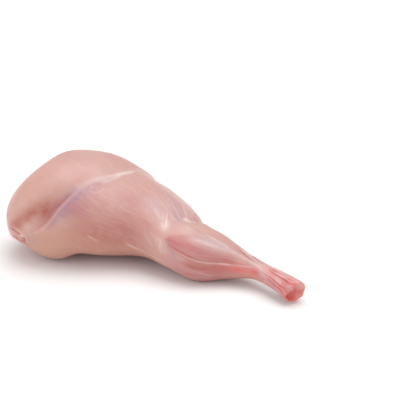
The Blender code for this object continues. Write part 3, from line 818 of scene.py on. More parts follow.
    # Name, tissue, along, around, amount, length, breadth, turn.
    patches: tuple[Patch, ...] = (
        Patch("hip bulge beige", CREAM, 38, 212, 0.9, 15, 15),
        Patch("under thigh beige", CREAM, 70, 212, 0.45, 22, 8),
        Patch("rump beige", CREAM, 26, 150, 0.45, 12, 16),
        Patch("rump near beige", CREAM, 10, 150, 0.4, 8, 14),
        Patch("rump rose", FLESH, 6, 160, 0.3, 6, 12),
        Patch("thigh lilac", VEIN_AND_SHADE, 54, 154, 0.36, 5, 6.5, 60),
        Patch("thigh lilac's rose", MARROW_AND_SHADE, 54.8, 153, 0.12, 4, 4),
        Patch("whirl", VEIN_AND_SHADE, 59.3, 124, 0.35, 3.4, 4.4),
        Patch("whirl's heart", FILM_AND_SHEEN, 58.8, 123.8, 0.35, 0.8, 1.4),
        Patch("rose beside the fold", FLESH, 58, 150, 0.32, 4.5, 6.5, 60),
        Patch("band haze", FILM_AND_SHEEN, 57, 105, 0.24, 4, 8, -50),
        # Painted shade in the rump fold and in the hollow beside it.
        Patch("painted shade in the fold", BLOOD_AND_SHADE, 41.5, 163, 0.7, 4.5, 7),
        Patch("painted shade in the hollow", BLOOD_AND_SHADE, 23, 183, 0.45, 4.5, 3.4),
        Patch("hollow's flesh", FLESH, 18.5, 184, 0.5, 4.5, 3),
        Patch("hollow's lilac", FILM_AND_SHEEN, 30, 183.5, 0.25, 3.2, 2.8),
        Patch("hip film lilac", VEIN_AND_SHADE, 31.5, 199, 0.35, 3, 4),
        # Painted silvery sheen on the thigh, over bluish film.
        Patch("thigh silver", VEIN_AND_SHADE, 90, 112, 0.3, 7, 5),
        Patch("thigh silver film", FILM_AND_SHEEN, 90, 113, 0.2, 6, 5),
        Patch("thigh flesh", FLESH, 74, 172, 0.3, 20, 13, 20),
        Patch("warm thigh", CREAM, 74, 184, 0.35, 20, 11, 10),
        Patch("lower thigh flesh", BLOOD_AND_SHADE, 70, 184, 0.5, 17, 9, 15),
        Patch("thigh red", BLOOD_AND_SHADE, 82, 170, 0.36, 10, 8),
        Patch("rosy thigh", FLESH, 76, 122, 0.22, 8, 5, 40),
        Patch("rosy lower thigh", FLESH, 93, 152, 0.22, 5, 6),
        Patch("rose under the strands", FLESH, 61.5, 119, 0.34, 4.5, 2.6, -50),
        Patch("rosy middle of the thigh", FLESH, 81, 124, 0.24, 6, 6),
        Patch("warm thigh's foot", BLOOD_AND_SHADE, 56, 202, 0.22, 12, 8),
        Patch("warm thigh's beige", CREAM, 54, 190, 0.42, 11, 7.5),
        Patch("pale under the fold", FILM_AND_SHEEN, 49, 172, 0.16, 6, 3, 40),
        Patch("beige under the fold", CREAM, 49, 172, 0.36, 7, 3.6, 40),
        # Painted shade at the foot of the rump fold.
        Patch("painted shade at the fold's foot", BLOOD_AND_SHADE, 37.4, 175, 0.26, 2.4, 3.4),
        Patch("rosy rump top", FLESH, 33, 128, 0.2, 7, 8),
        Patch("rosy far edge", FLESH, 91, 70, 0.2, 5, 4),
        Patch("knee wedge", VEIN_AND_SHADE, 102.8, 89, 0.36, 6, 5, 27),
        Patch("knee wedge's film", FILM_AND_SHEEN, 104.4, 87, 0.16, 4, 3.4, 27),
        Patch("knee wedge's foot", VEIN_AND_SHADE, 105.5, 97, 0.3, 3, 3.4, 20),
        Patch("far edge silver", FILM_AND_SHEEN, 93, 64, 0.28, 15, 8),
        Patch("knee knot", FILM_AND_SHEEN, 102.8, 128.5, 0.72, 2.2, 3.2),
        Patch("knee knot's foot", CREAM, 103.2, 138, 0.5, 2.4, 2.8),
        Patch("knee streak's root", FILM_AND_SHEEN, 109.4, 87, 0.7, 2.8, 1.2, -45),
        Patch("lower knee", CREAM, 104, 174, 0.5, 3, 4.5),
        Patch("lower knee film", FILM_AND_SHEEN, 103.9, 167, 0.34, 2, 3.4),
        Patch("lower knee lilac", VEIN_AND_SHADE, 112, 166, 0.5, 3.8, 3.2, 20),
        Patch("knee nub", CREAM, 97, 210, 0.6, 2.5, 3),
        Patch("calf top peach", CREAM, 113, 105, 0.35, 6, 5),
        Patch("calf top film", FILM_AND_SHEEN, 114, 104, 0.22, 6, 5),
        Patch("calf tip", FLESH, 110.5, 144, 0.2, 3.4, 2.6, -30),
        # Silvery fascia on the calf, partly painted sheen.
        Patch("calf silver", FILM_AND_SHEEN, 131, 110, 0.2, 12, 4.6),
        Patch("calf silver lilac", VEIN_AND_SHADE, 130, 113, 0.34, 13, 5),
        Patch("rosy calf top", FLESH, 121, 106, 0.24, 5, 4, 30),
        Patch("rosy calf end", BLOOD_AND_SHADE, 139, 128, 0.16, 6, 7),
        Patch("rosy shank", BLOOD_AND_SHADE, 141, 174, 0.25, 6, 3.4),
        Patch("rosy far calf", FLESH, 141.5, 88, 0.2, 6, 3),
        Patch("calf belly", VEIN_AND_SHADE, 130, 208, 0.2, 14, 6),
        Patch("calf belly's flesh", FLESH, 124, 204, 0.45, 12, 6),
        Patch("calf's lower flesh", FLESH, 122, 187, 0.34, 14, 6.5),
        Patch("calf's lower blood", BLOOD_AND_SHADE, 125, 193, 0.16, 14, 6),
        Patch("knot's foot", FILM_AND_SHEEN, 162.5, 150, 0.7, 2.8, 2.2),
        Patch("ankle top film", FILM_AND_SHEEN, 161, 92, 0.4, 4, 3),
        Patch("ankle red spot", MARROW_AND_SHADE, 156.5, 163, 0.5, 2.2, 1.6),
        Patch("knee wedge's rose", FLESH, 104, 90, 0.2, 6, 4, 27),
        Patch("shank red spot", MARROW_AND_SHADE, 146.3, 172, 0.35, 2, 1.4),
        Patch("ankle flesh", FLESH, 166, 165, 0.4, 12, 5),
        Patch("ankle red", MARROW_AND_SHADE, 170, 162, 0.2, 9, 5),
        Patch("ankle top flesh", FLESH, 174, 100, 0.32, 11, 7),
        Patch("ankle top red", MARROW_AND_SHADE, 178, 108, 0.2, 6, 5),
        Patch("ankle end red", MARROW_AND_SHADE, 181, 118, 0.26, 3, 6),
        Patch("hock flesh", FLESH, 178, 200, 0.5, 8, 14),
        Patch("shank glow", JOINT, 150, 174, 0.55, 10, 3.4),
        Patch("white knob", FILM_AND_SHEEN, 182, 136, 0.5, 1.6, 1.4),
        Patch("white knob's lilac", VEIN_AND_SHADE, 182, 136, 0.4, 2, 1.6),
        Patch("hock joint", JOINT, 181, 74, 0.45, 3.6, 3.4),
        Patch("hock joint under", JOINT, 183.2, 225, 0.4, 1, 6),
        # Painted shade on the hock end's lower lip.
        Patch("red painted shade under the hock", MARROW_AND_SHADE, 183, 244, 0.5, 2, 3),
        Patch("dark painted shade under the hock", BLOOD_AND_SHADE, 183, 250, 0.5, 2, 3),
        # Painted shade on the underside where it faces the floor, made redder so that the light it
        # throws on the floor is warmer.
        Patch("painted shade under the thigh", BLOOD_AND_SHADE, 66, 264, 0.75, 34, 20),
        Patch("painted shade under the rump", BLOOD_AND_SHADE, 22, 255, 0.45, 14, 16),
        Patch("painted shade under the calf", BLOOD_AND_SHADE, 128, 250, 0.6, 26, 10),
        Patch("far rump beige", CREAM, 18, 32, 0.5, 12, 12),
        Patch("far rump flesh", FLESH, 44, -2, 0.45, 16, 8),
        Patch("far thigh flesh", FLESH, 72, -22, 0.55, 24, 12),
        Patch("far thigh red", BLOOD_AND_SHADE, 86, -30, 0.35, 14, 8),
        Patch("far thigh silver", FILM_AND_SHEEN, 56, 28, 0.3, 13, 6),
        Patch("far knee beige", CREAM, 108, 24, 0.6, 5, 7),
        Patch("inner fat", CREAM, 26, -50, 0.8, 8, 9),
        Patch("inner fat's film", FILM_AND_SHEEN, 29, -46, 0.35, 5, 5),
        Patch("inner thigh flesh", FLESH, 58, -80, 0.4, 26, 14),
        Patch("inner knee silver", FILM_AND_SHEEN, 104, -30, 0.35, 7, 7),
        Patch("far edge fibres", FIBRE, 88, 90, 0.6, 18, 16),
        Patch("rump fibres", FIBRE, 26, 70, 0.5, 22, 30),
        Patch("far thigh fibres", FIBRE, 72, -5, 0.9, 30, 26),
        Patch("inner fibres", FIBRE, 60, -75, 0.9, 34, 24),
        Patch("far calf fibres", FIBRE, 130, 5, 0.8, 24, 16),
        Patch("thigh fibres", FIBRE, 76, 165, 0.8, 26, 20),
        Patch("calf fibres", FIBRE, 135, 150, 0.6, 26, 16),
        Patch("ankle fibres", FIBRE, 170, 180, 0.9, 18, 60),
    )

    # Name, tissue, first path, last path, count, amount, width, rise, seed.
    bundles: tuple[Bundle, ...] = (
        Bundle("thigh band strands", FILM_AND_SHEEN,
               ((54, 126), (58, 111), (63.5, 92), (68, 70)), ((57, 126), (62, 111), (66, 90),
                (70, 70)), 7, 0.3, 0.4, 0.08, 3),
        Bundle("fan lines", FILM_AND_SHEEN,
               ((57, 112), (50, 104), (41, 98), (32, 96)), ((53, 128), (48, 124), (41, 120),
                (33, 118)), 7, 0.07, 0.9, 0.06, 5),
        Bundle("far edge lines", FILM_AND_SHEEN,
               ((72, 52), (86, 44), (97, 38), (108, 44)), ((76, 74), (88, 72), (98, 66),
                (108, 66)), 11, 0.42, 0.4, 0.1, 7),
        Bundle("knee lines", FILM_AND_SHEEN,
               ((88, 78), (95, 80), (101, 86), (106, 92)), ((86, 104), (93, 104), (99, 104),
                (103, 110)), 8, 0.26, 0.4, 0.08, 11),
        Bundle("knee knot lines", FILM_AND_SHEEN,
               ((103.6, 128), (102, 116), (100, 108), (97, 102)), ((103, 134), (99, 127),
                (94, 120), (88, 115)), 6, 0.24, 0.4, 0.08, 43),
        Bundle("lower knee fan", FILM_AND_SHEEN,
               ((104, 158), (106.5, 161), (109, 166), (112, 172)), ((102.5, 164), (104, 172),
                (105.5, 180), (107, 190)), 7, 0.24, 0.38, 0.08, 13),
        # Fine silvery lines of fascia, partly painted sheen.
        Bundle("calf silver lines", FILM_AND_SHEEN,
               ((120, 92), (128, 90), (137, 98), (147, 105)), ((120, 126), (128, 122), (137, 125),
                (149, 118)), 11, 0.2, 0.38, 0.06, 17),
        Bundle("calf fibres", FLESH,
               ((112, 130), (122, 128), (134, 132), (146, 132)), ((110, 150), (122, 152),
                (134, 156), (146, 152)), 9, 0.3, 0.4, -0.05, 47),
        Bundle("belly lines", FILM_AND_SHEEN,
               ((112, 168), (121, 171), (131, 174), (142, 172)), ((116, 212), (124, 216),
                (133, 218), (142, 210)), 9, 0.12, 0.4, 0.05, 53),
        Bundle("thigh fibres", FILM_AND_SHEEN,
               ((60, 130), (68, 136), (77, 142), (86, 148)), ((62, 196), (70, 202), (79, 208),
                (88, 212)), 16, 0.05, 0.45, 0.03, 19),
        Bundle("thigh hairs", FILM_AND_SHEEN,
               ((62, 119), (67, 115), (73, 110)), ((66, 150), (73, 147), (80, 144)), 10, 0.12,
               0.32, 0.05, 59),
        Bundle("white fibres", FILM_AND_SHEEN,
               ((60.5, 180), (64, 184), (68.5, 189)), ((64, 190), (67, 193.5), (70.5, 197)), 5,
               0.36, 0.32, 0.1, 37),
        Bundle("lower white fibres", FILM_AND_SHEEN,
               ((78, 187), (83, 193.5), (89, 200)), ((81, 200), (86, 205), (92, 209)), 6, 0.34,
               0.34, 0.1, 41),
        Bundle("far thigh lines", FILM_AND_SHEEN,
               ((52, 34), (66, 26), (82, 20), (98, 18)), ((50, -40), (64, -44), (80, -46),
                (96, -40)), 16, 0.2, 0.42, 0.07, 61),
        Bundle("far rump lines", FILM_AND_SHEEN,
               ((10, 42), (22, 46), (34, 48), (46, 46)), ((10, -12), (22, -8), (34, -5), (46, -6)),
               12, 0.14, 0.5, 0.06, 67),
        Bundle("far calf lines", FILM_AND_SHEEN,
               ((113, 42), (122, 44), (133, 42), (146, 46)), ((114, -40), (124, -46), (135, -44),
                (147, -30)), 14, 0.26, 0.4, 0.07, 71),
        Bundle("far calf fibres", FLESH,
               ((113, 38), (122, 38), (133, 38), (146, 42)), ((114, -36), (124, -40), (135, -40),
                (147, -28)), 12, 0.4, 0.5, -0.06, 73),
        Bundle("inner thigh lines", FILM_AND_SHEEN,
               ((30, -30), (48, -34), (66, -40), (84, -38)), ((30, -110), (48, -112), (66, -114),
                (84, -108)), 16, 0.2, 0.42, 0.07, 79),
        Bundle("inner thigh shades", FLESH,
               ((30, -34), (48, -38), (66, -44), (84, -42)), ((30, -106), (48, -108), (66, -110),
                (84, -104)), 12, 0.35, 0.6, -0.07, 83),
        Bundle("ankle strands", FILM_AND_SHEEN,
               ((156, 60), (164, 68), (172, 74), (182, 76)), ((156, 200), (164, 206), (172, 210),
                (182, 212)), 30, 0.62, 0.34, 0.22, 23),
        Bundle("ankle shades", MARROW_AND_SHADE,
               ((156, 64), (164, 72), (172, 78), (182, 80)), ((156, 210), (164, 214), (172, 218),
                (182, 220)), 24, 0.48, 0.32, -0.18, 29),
        Bundle("end strands", FILM_AND_SHEEN,
               ((173, 66), (176, 68), (180, 70), (183.3, 72)), ((173, 176), (176, 180), (180, 184),
                (183.3, 186)), 16, 0.5, 0.34, 0.24, 89),
        Bundle("end shades", MARROW_AND_SHADE,
               ((174, 70), (177, 72), (180, 74), (182.6, 76)), ((174, 180), (177, 184), (180, 188),
                (183, 190)), 14, 0.7, 0.4, -0.2, 97),
        Bundle("under ankle strands", FILM_AND_SHEEN,
               ((152, 216), (162, 222), (172, 226), (182, 228)), ((152, 412), (162, 416),
                (172, 418), (182, 420)), 16, 0.3, 0.45, 0.2, 31),
    )

    stains: tuple[Lump, ...] = (
        Lump("red marrow", -0.8, -1.8, 0, 2.5, MARROW_AND_SHADE, 0.55),
        Lump("top bone", -0.6, 3.6, 0, 2.4, JOINT, 0.75),
        # Film on the cut face, partly painted light that lifts the face where it turns away from
        # the lamps.
        Lump("top bone's film", 0.4, 3.6, 0, 2.4, FILM_AND_SHEEN, 0.46),
        Lump("far bone's film", 2.4, 3, 0, 2.2, FILM_AND_SHEEN, 0.3),
        Lump("marrow's deep end", -2.4, -2.2, 0, 1.5, BLOOD_AND_SHADE, 0.5),
        Lump("far bone", 3.2, 2.6, 0, 2.6, JOINT, 0.75),
        Lump("far bone's fat", 3.6, 3, 0, 2, CREAM, 0.3),
        Lump("dark spot", 3.6, -0.5, 0, 0.7, BLOOD_AND_SHADE, 0.6),
        Lump("lower bone", 1.6, -5.2, 0, 1.3, JOINT, 0.6),
    )

    # Plain tissues of the cut end's face, and the shares of the section between which
    # the face fades into the rim.
    face: tuple[tuple[Tissue, float], ...] = ((FLESH, 0.2), (JOINT, 0.5), (MARROW_AND_SHADE, 0.1))
    face_fade: tuple[float, float] = (0.82, 0.98)

    def all_strokes(self) -> list[Stroke]:
        """The single strokes, then those of the bundles."""
        return [*self.strokes, *(stroke for bundle in self.bundles for stroke in bundle.strokes())]

    def masks(self, surface: Surface, lumps: tuple[Lump, ...]) -> dict[Tissue, np.ndarray]:
        """How much of each tissue each point shows. Strokes, patches, the face, lumps and
        stains of one tissue are screened together, 1 - (1 - a)(1 - b)..., so they never
        pass 1.

        Args:
            surface: the leg's grid.
            lumps: those of the cut hock end.

        Returns:
            A value from 0 to 1 for each point, by tissue.
        """
        bare = {tissue: np.ones(surface.along.shape) for tissue in Tissue}
        for stroke in self.all_strokes():
            bare[stroke.tissue] *= 1 - stroke.amount * path_profile(surface, stroke, STROKE_STEPS)
        for patch in self.patches:
            bare[patch.tissue] *= 1 - patch.amount * spot_profile(surface, patch, patch.turn)
        face = surface.on_cut * (1 - smooth_step(*self.face_fade, surface.share))
        for tissue, amount in self.face:
            bare[tissue] *= 1 - amount * face
        for lump in (*lumps, *self.stains):
            bare[lump.tissue] *= 1 - lump.amount * lump_profile(surface, lump)
        return {tissue: 1 - left for tissue, left in bare.items()}

    def relief(self, surface: Surface) -> np.ndarray:
        """Low relief of the strokes, in millimetres: their rises added up."""
        relief = np.zeros(surface.along.shape)
        for stroke in self.all_strokes():
            if stroke.rise:
                relief += stroke.rise * path_profile(surface, stroke, STROKE_STEPS)
        return relief


# ---------------------------------------------------------------- finishes


def screen_colour(shade: Shade) -> tuple[float, float, float, float]:
    """Linear colour of a screen shade, by the screen's own curve: ((c + 0.055) / 1.055)^2.4
    above a small straight part."""
    parts = [part / 255 for part in shade]
    linear = [part / 12.92 if part <= 0.04045 else ((part + 0.055) / 1.055) ** 2.4
              for part in parts]
    return (linear[0], linear[1], linear[2], 1.0)


class NodeSheet:
    """A node tree that is written node by node."""

    def __init__(self, tree: bpy.types.NodeTree) -> None:
        """Starts on a tree, which keeps the nodes that it has."""
        self.tree = tree

    def add(self, kind: str, inputs: dict[str | int, Input] | None = None,
            **settings: object) -> bpy.types.Node:
        """Adds a node.

        Args:
            kind: the node's type.
            inputs: a value or a socket for each input, by name or number.
            settings: the node's own properties, set before its inputs.

        Returns:
            The new node.
        """
        node = self.tree.nodes.new(kind)
        for name, value in settings.items():
            setattr(node, name, value)
        for key, value in (inputs or {}).items():
            if isinstance(value, bpy.types.NodeSocket):
                self.tree.links.new(value, node.inputs[key])
            else:
                node.inputs[key].default_value = value
        return node

    def mask(self, name: str) -> bpy.types.NodeSocket:
        """Value of a point attribute."""
        return self.add("ShaderNodeAttribute", attribute_name=name).outputs["Fac"]

    def maths(self, operation: str, first: Input, second: Input) -> bpy.types.NodeSocket:
        """Result of a sum on two values."""
        return self.add("ShaderNodeMath", {0: first, 1: second}, operation=operation).outputs[0]

    def times(self, first: Input, second: Input) -> bpy.types.NodeSocket:
        """Product of two values."""
        return self.maths("MULTIPLY", first, second)

    def ramp(self, value: Input, to_low: float, to_high: float) -> bpy.types.NodeSocket:
        """Smooth ramp of a value from to_low at 0 to to_high at 1."""
        node = self.add("ShaderNodeMapRange",
                        {"Value": value, "From Min": 0.0, "From Max": 1.0, "To Min": to_low,
                         "To Max": to_high}, interpolation_type="SMOOTHSTEP")
        return node.outputs["Result"]

    def contrast(self, value: Input, middle: Input, softness: Input) -> bpy.types.NodeSocket:
        """Straight ramp from 0 at middle - softness to 1 at middle + softness."""
        node = self.add("ShaderNodeMapRange",
                        {"Value": value, "From Min": self.maths("SUBTRACT", middle, softness),
                         "From Max": self.maths("ADD", middle, softness)})
        return node.outputs["Result"]

    def blend(self, amount: Input, first: Input, second: Input) -> bpy.types.NodeSocket:
        """Mix of two colours, the second by the amount. The node's colour sockets are its
        inputs 6 and 7 and its output 2."""
        node = self.add("ShaderNodeMix", {0: amount, 6: first, 7: second}, data_type="RGBA")
        return node.outputs[2]

    def group(self, tree: bpy.types.NodeTree, inputs: dict[str | int, Input]
              ) -> bpy.types.NodeSocket:
        """First output of a node group."""
        return self.add("ShaderNodeGroup", inputs, node_tree=tree).outputs[0]


def open_group(name: str, place: str, values: tuple[str, ...]
               ) -> tuple[NodeSheet, bpy.types.NodeOutputs, bpy.types.NodeSocket]:
    """Empty node group with one output called Amount.

    Args:
        name: the group's name.
        place: name of its vector input.
        values: names of its number inputs.

    Returns:
        The group's sheet, its input sockets by name, and the socket that its result goes to.
    """
    tree = bpy.data.node_groups.new(name, "ShaderNodeTree")
    tree.interface.new_socket(place, in_out="INPUT", socket_type="NodeSocketVector")
    for value in values:
        tree.interface.new_socket(value, in_out="INPUT", socket_type="NodeSocketFloat")
    tree.interface.new_socket("Amount", in_out="OUTPUT", socket_type="NodeSocketFloat")
    sheet = NodeSheet(tree)
    entry = sheet.add("NodeGroupInput")
    return sheet, entry.outputs, sheet.add("NodeGroupOutput").inputs["Amount"]


def fibre_group() -> bpy.types.NodeTree:
    """Streaks of noise along the grain: the grain's x is slowed, so that spots grow long."""
    sheet, entry, result = open_group("meat_fibres", "Grain",
                                      ("Fineness", "Slowness", "Middle", "Softness"))
    parts = sheet.add("ShaderNodeSeparateXYZ", {0: entry["Grain"]}).outputs
    place = sheet.add("ShaderNodeCombineXYZ",
                      {"X": sheet.times(parts["X"], entry["Slowness"]), "Y": parts["Y"],
                       "Z": parts["Z"]})
    noise = sheet.add("ShaderNodeTexNoise",
                      {"Vector": place.outputs[0], "Scale": entry["Fineness"],
                       "Detail": 3.0, "Roughness": 0.6, "Distortion": 0.9})
    sheet.tree.links.new(
        sheet.contrast(noise.outputs["Fac"], entry["Middle"], entry["Softness"]), result)
    return sheet.tree


def mottle_group() -> bpy.types.NodeTree:
    """Soft uneven spots: noise on the object's own coordinates, spread by its contrast."""
    sheet, entry, result = open_group("meat_mottle", "Place", ("Fineness", "Softness"))
    noise = sheet.add("ShaderNodeTexNoise",
                      {"Vector": entry["Place"], "Scale": entry["Fineness"], "Detail": 4.0,
                       "Roughness": 0.5, "Distortion": 0.4})
    sheet.tree.links.new(sheet.contrast(noise.outputs["Fac"], 0.5, entry["Softness"]), result)
    return sheet.tree


@dataclass(frozen=True)
class RawMeat:
    """Moist raw rabbit meat under thin film. Shades are screen colours."""

    muscle: Shade = (202, 160, 150)
    rosy_muscle: Shade = (198, 148, 142)
    flesh: Shade = (182, 107, 110)
    # blood: red-brown of raw edges, and painted shade in folds, creases, hollows and under the leg
    blood: Shade = (168, 78, 58)
    # vein: bluish flesh, and painted shade beside the rump fold and on the lower calf
    vein: Shade = (158, 128, 148)
    cream: Shade = (197, 150, 125)
    # film: white fascia, and painted highlights and sheen
    film: Shade = (226, 206, 202)
    joint: Shade = (246, 154, 140)
    # marrow: bright red of the cut bone, and painted shade under the hock end
    marrow: Shade = (204, 60, 62)
    rosy_share: float = 0.7            # of rosy muscle where the drift is strongest
    calm_fibres: float = 0.15          # share of the fibres that shows outside their mask
    dark_fibres: float = 0.23          # how strongly they show inside it
    pale_fibres: float = 0.2
    roughness: tuple[float, float] = (0.34, 0.48)
    film_gloss: float = 0.10           # roughness that film takes away
    strand_height: float = 0.35        # shares of the bump
    bundle_height: float = 0.65
    spot_height: float = 0.5
    bump_height: float = 0.00018       # in metres
    bump_strength: float = 0.75
    wetness: float = 0.16
    wet_roughness: float = 0.28
    bending: float = 1.42              # index of refraction
    softness: float = 0.25             # share of light that goes through the surface
    depth: float = 1.3                 # how far it goes, in millimetres
    depth_by_colour: Point = (1.0, 0.38, 0.28)

    def material(self) -> bpy.types.Material:
        """Builds the material. The muscle's two shades drift into each other, fibres darken
        and lighten it, and each tissue lies over it by its own mask, broken up by fibres or
        spots."""
        material = bpy.data.materials.new("raw_rabbit_meat")
        material.use_nodes = True
        sheet = NodeSheet(material.node_tree)
        fibres, mottle = fibre_group(), mottle_group()
        place = sheet.add("ShaderNodeTexCoord").outputs["Object"]
        grain = sheet.add("ShaderNodeAttribute", attribute_name="grain").outputs["Vector"]
        drift = sheet.group(mottle, {"Place": place, "Fineness": 55.0, "Softness": 0.16})
        spots = sheet.group(mottle, {"Place": place, "Fineness": 260.0, "Softness": 0.18})
        strands = sheet.group(fibres, {"Grain": grain, "Fineness": 560.0, "Slowness": 0.16,
                                       "Middle": 0.57, "Softness": 0.08})
        bundles = sheet.group(fibres, {"Grain": grain, "Fineness": 330.0, "Slowness": 0.24,
                                       "Middle": 0.5, "Softness": 0.10})

        colour = sheet.blend(sheet.times(drift, self.rosy_share), screen_colour(self.muscle),
                             screen_colour(self.rosy_muscle))
        shown = sheet.ramp(sheet.mask("fibre"), self.calm_fibres, 1.0)
        for noise, share, shade in ((bundles, self.dark_fibres, self.flesh),
                                    (strands, self.pale_fibres, self.film)):
            colour = sheet.blend(sheet.times(noise, sheet.times(shown, share)), colour,
                                 screen_colour(shade))
        for tissue, noise, least in ((CREAM, drift, 0.75), (VEIN_AND_SHADE, bundles, 0.75),
                                     (FLESH, bundles, 0.75), (BLOOD_AND_SHADE, spots, 0.7),
                                     (JOINT, spots, 0.5), (FILM_AND_SHEEN, spots, 0.7),
                                     (MARROW_AND_SHADE, spots, 0.7)):
            amount = sheet.times(sheet.mask(tissue.value), sheet.ramp(noise, least, 1.0))
            colour = sheet.blend(amount, colour, screen_colour(getattr(self, tissue.value)))

        roughness = sheet.maths("SUBTRACT", sheet.ramp(spots, *self.roughness),
                                sheet.times(sheet.mask("film"), self.film_gloss))
        height = sheet.maths("ADD", sheet.times(strands, self.strand_height),
                             sheet.times(bundles, self.bundle_height))
        height = sheet.maths("ADD", height, sheet.times(spots, self.spot_height))
        bump = sheet.add("ShaderNodeBump", {"Height": height, "Distance": self.bump_height,
                                            "Strength": self.bump_strength})
        surface = material.node_tree.nodes["Principled BSDF"]
        for socket, name in ((colour, "Base Color"), (roughness, "Roughness"),
                             (bump.outputs["Normal"], "Normal")):
            material.node_tree.links.new(socket, surface.inputs[name])
        surface.inputs["Subsurface Weight"].default_value = self.softness
        surface.inputs["Subsurface Radius"].default_value = self.depth_by_colour
        surface.inputs["Subsurface Scale"].default_value = self.depth * MM
        surface.inputs["IOR"].default_value = self.bending
        surface.inputs["Coat Weight"].default_value = self.wetness
        surface.inputs["Coat Roughness"].default_value = self.wet_roughness
        return material


# ---------------------------------------------------------------- the leg


@dataclass
class RabbitLeg:
    """The whole leg: its form, the tissues on it and its finish."""

    form: LegForm
    tissues: LegTissues
    finish: RawMeat
    grain_radius: float = 20.0         # of the cylinder that the grain is wrapped round
    grain_twist: float = 0.75          # degrees that the thigh's fibres turn per millimetre
    twist_start: float = 25.0
    twist_end: float = 95.0

    def build(self, node: str) -> bpy.types.Object:
        """Makes the leg where its solid is.

        Args:
            node: name of the solid that it stands for.

        Returns:
            The new object.
        """
        surface = self.form.surface(self.tissues)
        points, faces = self.closed_mesh(surface)
        low, high = points.min(axis=0), points.max(axis=0)
        box_low, box_high = (np.array(corner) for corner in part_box(node))
        middle = (box_low + box_high) / 2
        place = np.array([middle[0], middle[1], box_low[2]])
        points = (points - [(low[0] + high[0]) / 2, (low[1] + high[1]) / 2, low[2]]) * MM + place

        mesh = bpy.data.meshes.new("raw_leg")
        mesh.from_pydata(points.tolist(), [], faces.tolist())
        mesh.shade_smooth()
        for tissue, mask in self.tissues.masks(surface, self.form.lumps).items():
            self.add_attribute(mesh, tissue.value, "FLOAT", "value", self.with_poles(mask))
        self.add_attribute(mesh, "grain", "FLOAT_VECTOR", "vector",
                           self.with_poles(self.grain(surface)) * MM)
        mesh.materials.append(self.finish.material())
        leg = bpy.data.objects.new("raw_leg", mesh)
        bpy.context.scene.collection.objects.link(leg)
        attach(leg, "root")
        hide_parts(node)
        return leg

    def closed_mesh(self, surface: Surface) -> tuple[np.ndarray, np.ndarray]:
        """Points and triangles of the grid: two triangles for each cell, and a fan round a
        pole at each end.

        Args:
            surface: the leg's grid.

        Returns:
            The points, with the two poles last, and the triangles.
        """
        ring_count, point_count = surface.along.shape
        points = self.with_poles(surface.points)
        points[-2, 0] = 0.0            # the rump's pole is its tip
        first = np.arange(point_count)
        following = np.roll(first, -1)
        starts = np.arange(ring_count - 1)[:, None] * point_count
        a, b = starts + first, starts + following
        c, d = b + point_count, a + point_count
        band = np.concatenate([np.stack([a, b, c], -1), np.stack([a, c, d], -1)])
        rump_cap = np.stack([np.full(point_count, len(points) - 2), following, first], -1)
        last = (ring_count - 1) * point_count
        hock_cap = np.stack([np.full(point_count, len(points) - 1), last + first,
                             last + following], -1)
        return points, np.concatenate([band.reshape(-1, 3), rump_cap, hock_cap])

    def with_poles(self, values: np.ndarray) -> np.ndarray:
        """Values of the grid in one row, then the means of its first and last rings."""
        row = values.reshape(-1, *values.shape[2:])
        return np.concatenate([row, values[0].mean(axis=0)[None], values[-1].mean(axis=0)[None]])

    def grain(self, surface: Surface) -> np.ndarray:
        """Coordinates that follow the fibres: the place along, and the place round a
        cylinder, turned back by the twist of the thigh's fibres up to there."""
        twist = self.grain_twist * np.clip(surface.along - self.twist_start, 0,
                                           self.twist_end - self.twist_start)
        turned = np.radians(surface.around - twist)
        reach = self.grain_radius * np.sqrt(surface.share)
        return np.stack([surface.along, reach * np.cos(turned), reach * np.sin(turned)], -1)

    def add_attribute(self, mesh: bpy.types.Mesh, name: str, kind: str, field_name: str,
                      values: np.ndarray) -> None:
        """Gives the mesh one value or vector for each point."""
        attribute = mesh.attributes.new(name, kind, "POINT")
        attribute.data.foreach_set(field_name, values.astype(np.float32).ravel())


# ---------------------------------------------------------------- studio


@dataclass(frozen=True)
class Lamp:
    """A soft rectangular light that faces the leg. Sizes are metres, power is watts."""

    name: str
    place: Point
    size: tuple[float, float]
    power: float

    def build(self) -> None:
        """Adds the light."""
        light = bpy.data.lights.new(self.name, "AREA")
        light.shape = "RECTANGLE"
        light.size, light.size_y = self.size
        light.energy = self.power
        lamp = bpy.data.objects.new(self.name, light)
        bpy.context.scene.collection.objects.link(lamp)
        lamp.location = self.place
        lamp.rotation_mode = "QUATERNION"
        lamp.rotation_quaternion = (-Vector(self.place)).to_track_quat("-Z", "Y")


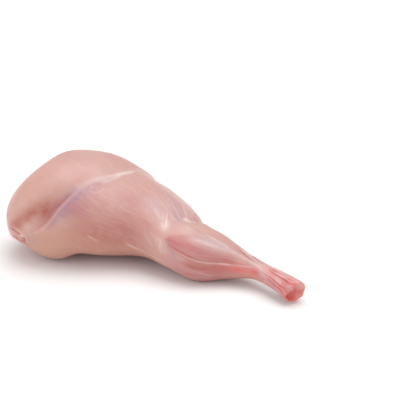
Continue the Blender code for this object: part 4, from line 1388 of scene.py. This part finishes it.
@dataclass
class Studio:
    """Pale floor, soft light from above and behind, and the photograph's camera.

    Sizes are metres, angles are degrees and the lens is in millimetres.
    """

    azimuth: float = 31.0
    elevation: float = 26.0
    distance: float = 0.837
    lens: float = 129.6
    sensor: float = 36.0
    target: Point = (-0.00044, 0.00151, 0.014)
    aim_right: float = 0.0244          # the camera aims this far right of the target
    aim_up: float = 0.0250
    floor_size: float = 6.0
    floor_level: float = -0.0002
    floor_shade: float = 0.9
    floor_roughness: float = 0.9
    floor_gloss: float = 0.1
    world_strength: float = 0.60
    lamps: tuple[Lamp, ...] = (
        Lamp("key", (0.05, 0.28, 1.5), (1.6, 1.4), 16.0),
        Lamp("fill", (-0.85, -1.0, 0.5), (1.4, 1.0), 6.5),
        Lamp("side", (1.3, -0.35, 0.7), (0.9, 0.7), 3.0),
    )

    def build(self) -> None:
        """Sets up the floor, the lights, the world and the camera."""
        self.add_floor()
        for lamp in self.lamps:
            lamp.build()
        self.add_world()
        self.add_camera()
        bpy.context.scene.view_settings.view_transform = "Standard"

    def add_floor(self) -> None:
        """A flat white floor just under the leg."""
        half = self.floor_size / 2
        mesh = bpy.data.meshes.new("floor")
        mesh.from_pydata([(-half, -half, 0), (half, -half, 0), (half, half, 0),
                          (-half, half, 0)], [], [(0, 1, 2, 3)])
        material = bpy.data.materials.new("white_floor")
        material.use_nodes = True
        surface = material.node_tree.nodes["Principled BSDF"]
        surface.inputs["Base Color"].default_value = (*[self.floor_shade] * 3, 1.0)
        surface.inputs["Roughness"].default_value = self.floor_roughness
        surface.inputs["Specular IOR Level"].default_value = self.floor_gloss
        mesh.materials.append(material)
        floor = bpy.data.objects.new("floor", mesh)
        bpy.context.scene.collection.objects.link(floor)
        floor.location = (0, 0, self.floor_level)

    def add_world(self) -> None:
        """Even white light from all sides."""
        world = bpy.data.worlds.new("studio")
        world.use_nodes = True
        background = world.node_tree.nodes["Background"]
        background.inputs["Color"].default_value = (1.0, 1.0, 1.0, 1.0)
        background.inputs["Strength"].default_value = self.world_strength
        bpy.context.scene.world = world

    def add_camera(self) -> None:
        """The camera looks at a place a little to the right of and above the leg."""
        azimuth, elevation = math.radians(self.azimuth), math.radians(self.elevation)
        right = Vector((math.cos(azimuth), math.sin(azimuth), 0))
        back = Vector((math.sin(azimuth) * math.cos(elevation),
                       -math.cos(azimuth) * math.cos(elevation), math.sin(elevation)))
        target = Vector(self.target)
        place = target + back * self.distance
        aim = target + right * self.aim_right + back.cross(right) * self.aim_up
        data = bpy.data.cameras.new("camera")
        data.lens = self.lens
        data.sensor_width = self.sensor
        camera = bpy.data.objects.new("camera", data)
        bpy.context.scene.collection.objects.link(camera)
        camera.location = place
        camera.rotation_mode = "QUATERNION"
        camera.rotation_quaternion = (aim - place).to_track_quat("-Z", "Y")
        bpy.context.scene.camera = camera


def main() -> None:
    """Builds the leg and the studio."""
    logging.basicConfig(level=logging.INFO, format="%(name)s: %(message)s")
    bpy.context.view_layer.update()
    leg = RabbitLeg(LegForm(), LegTissues(), RawMeat()).build("rabbit_leg")
    LOG.info("%s: %d triangles", leg.name, len(leg.data.polygons))
    Studio().build()
    LOG.info("studio: floor, light and camera")


if __name__ == "__main__":
    main()
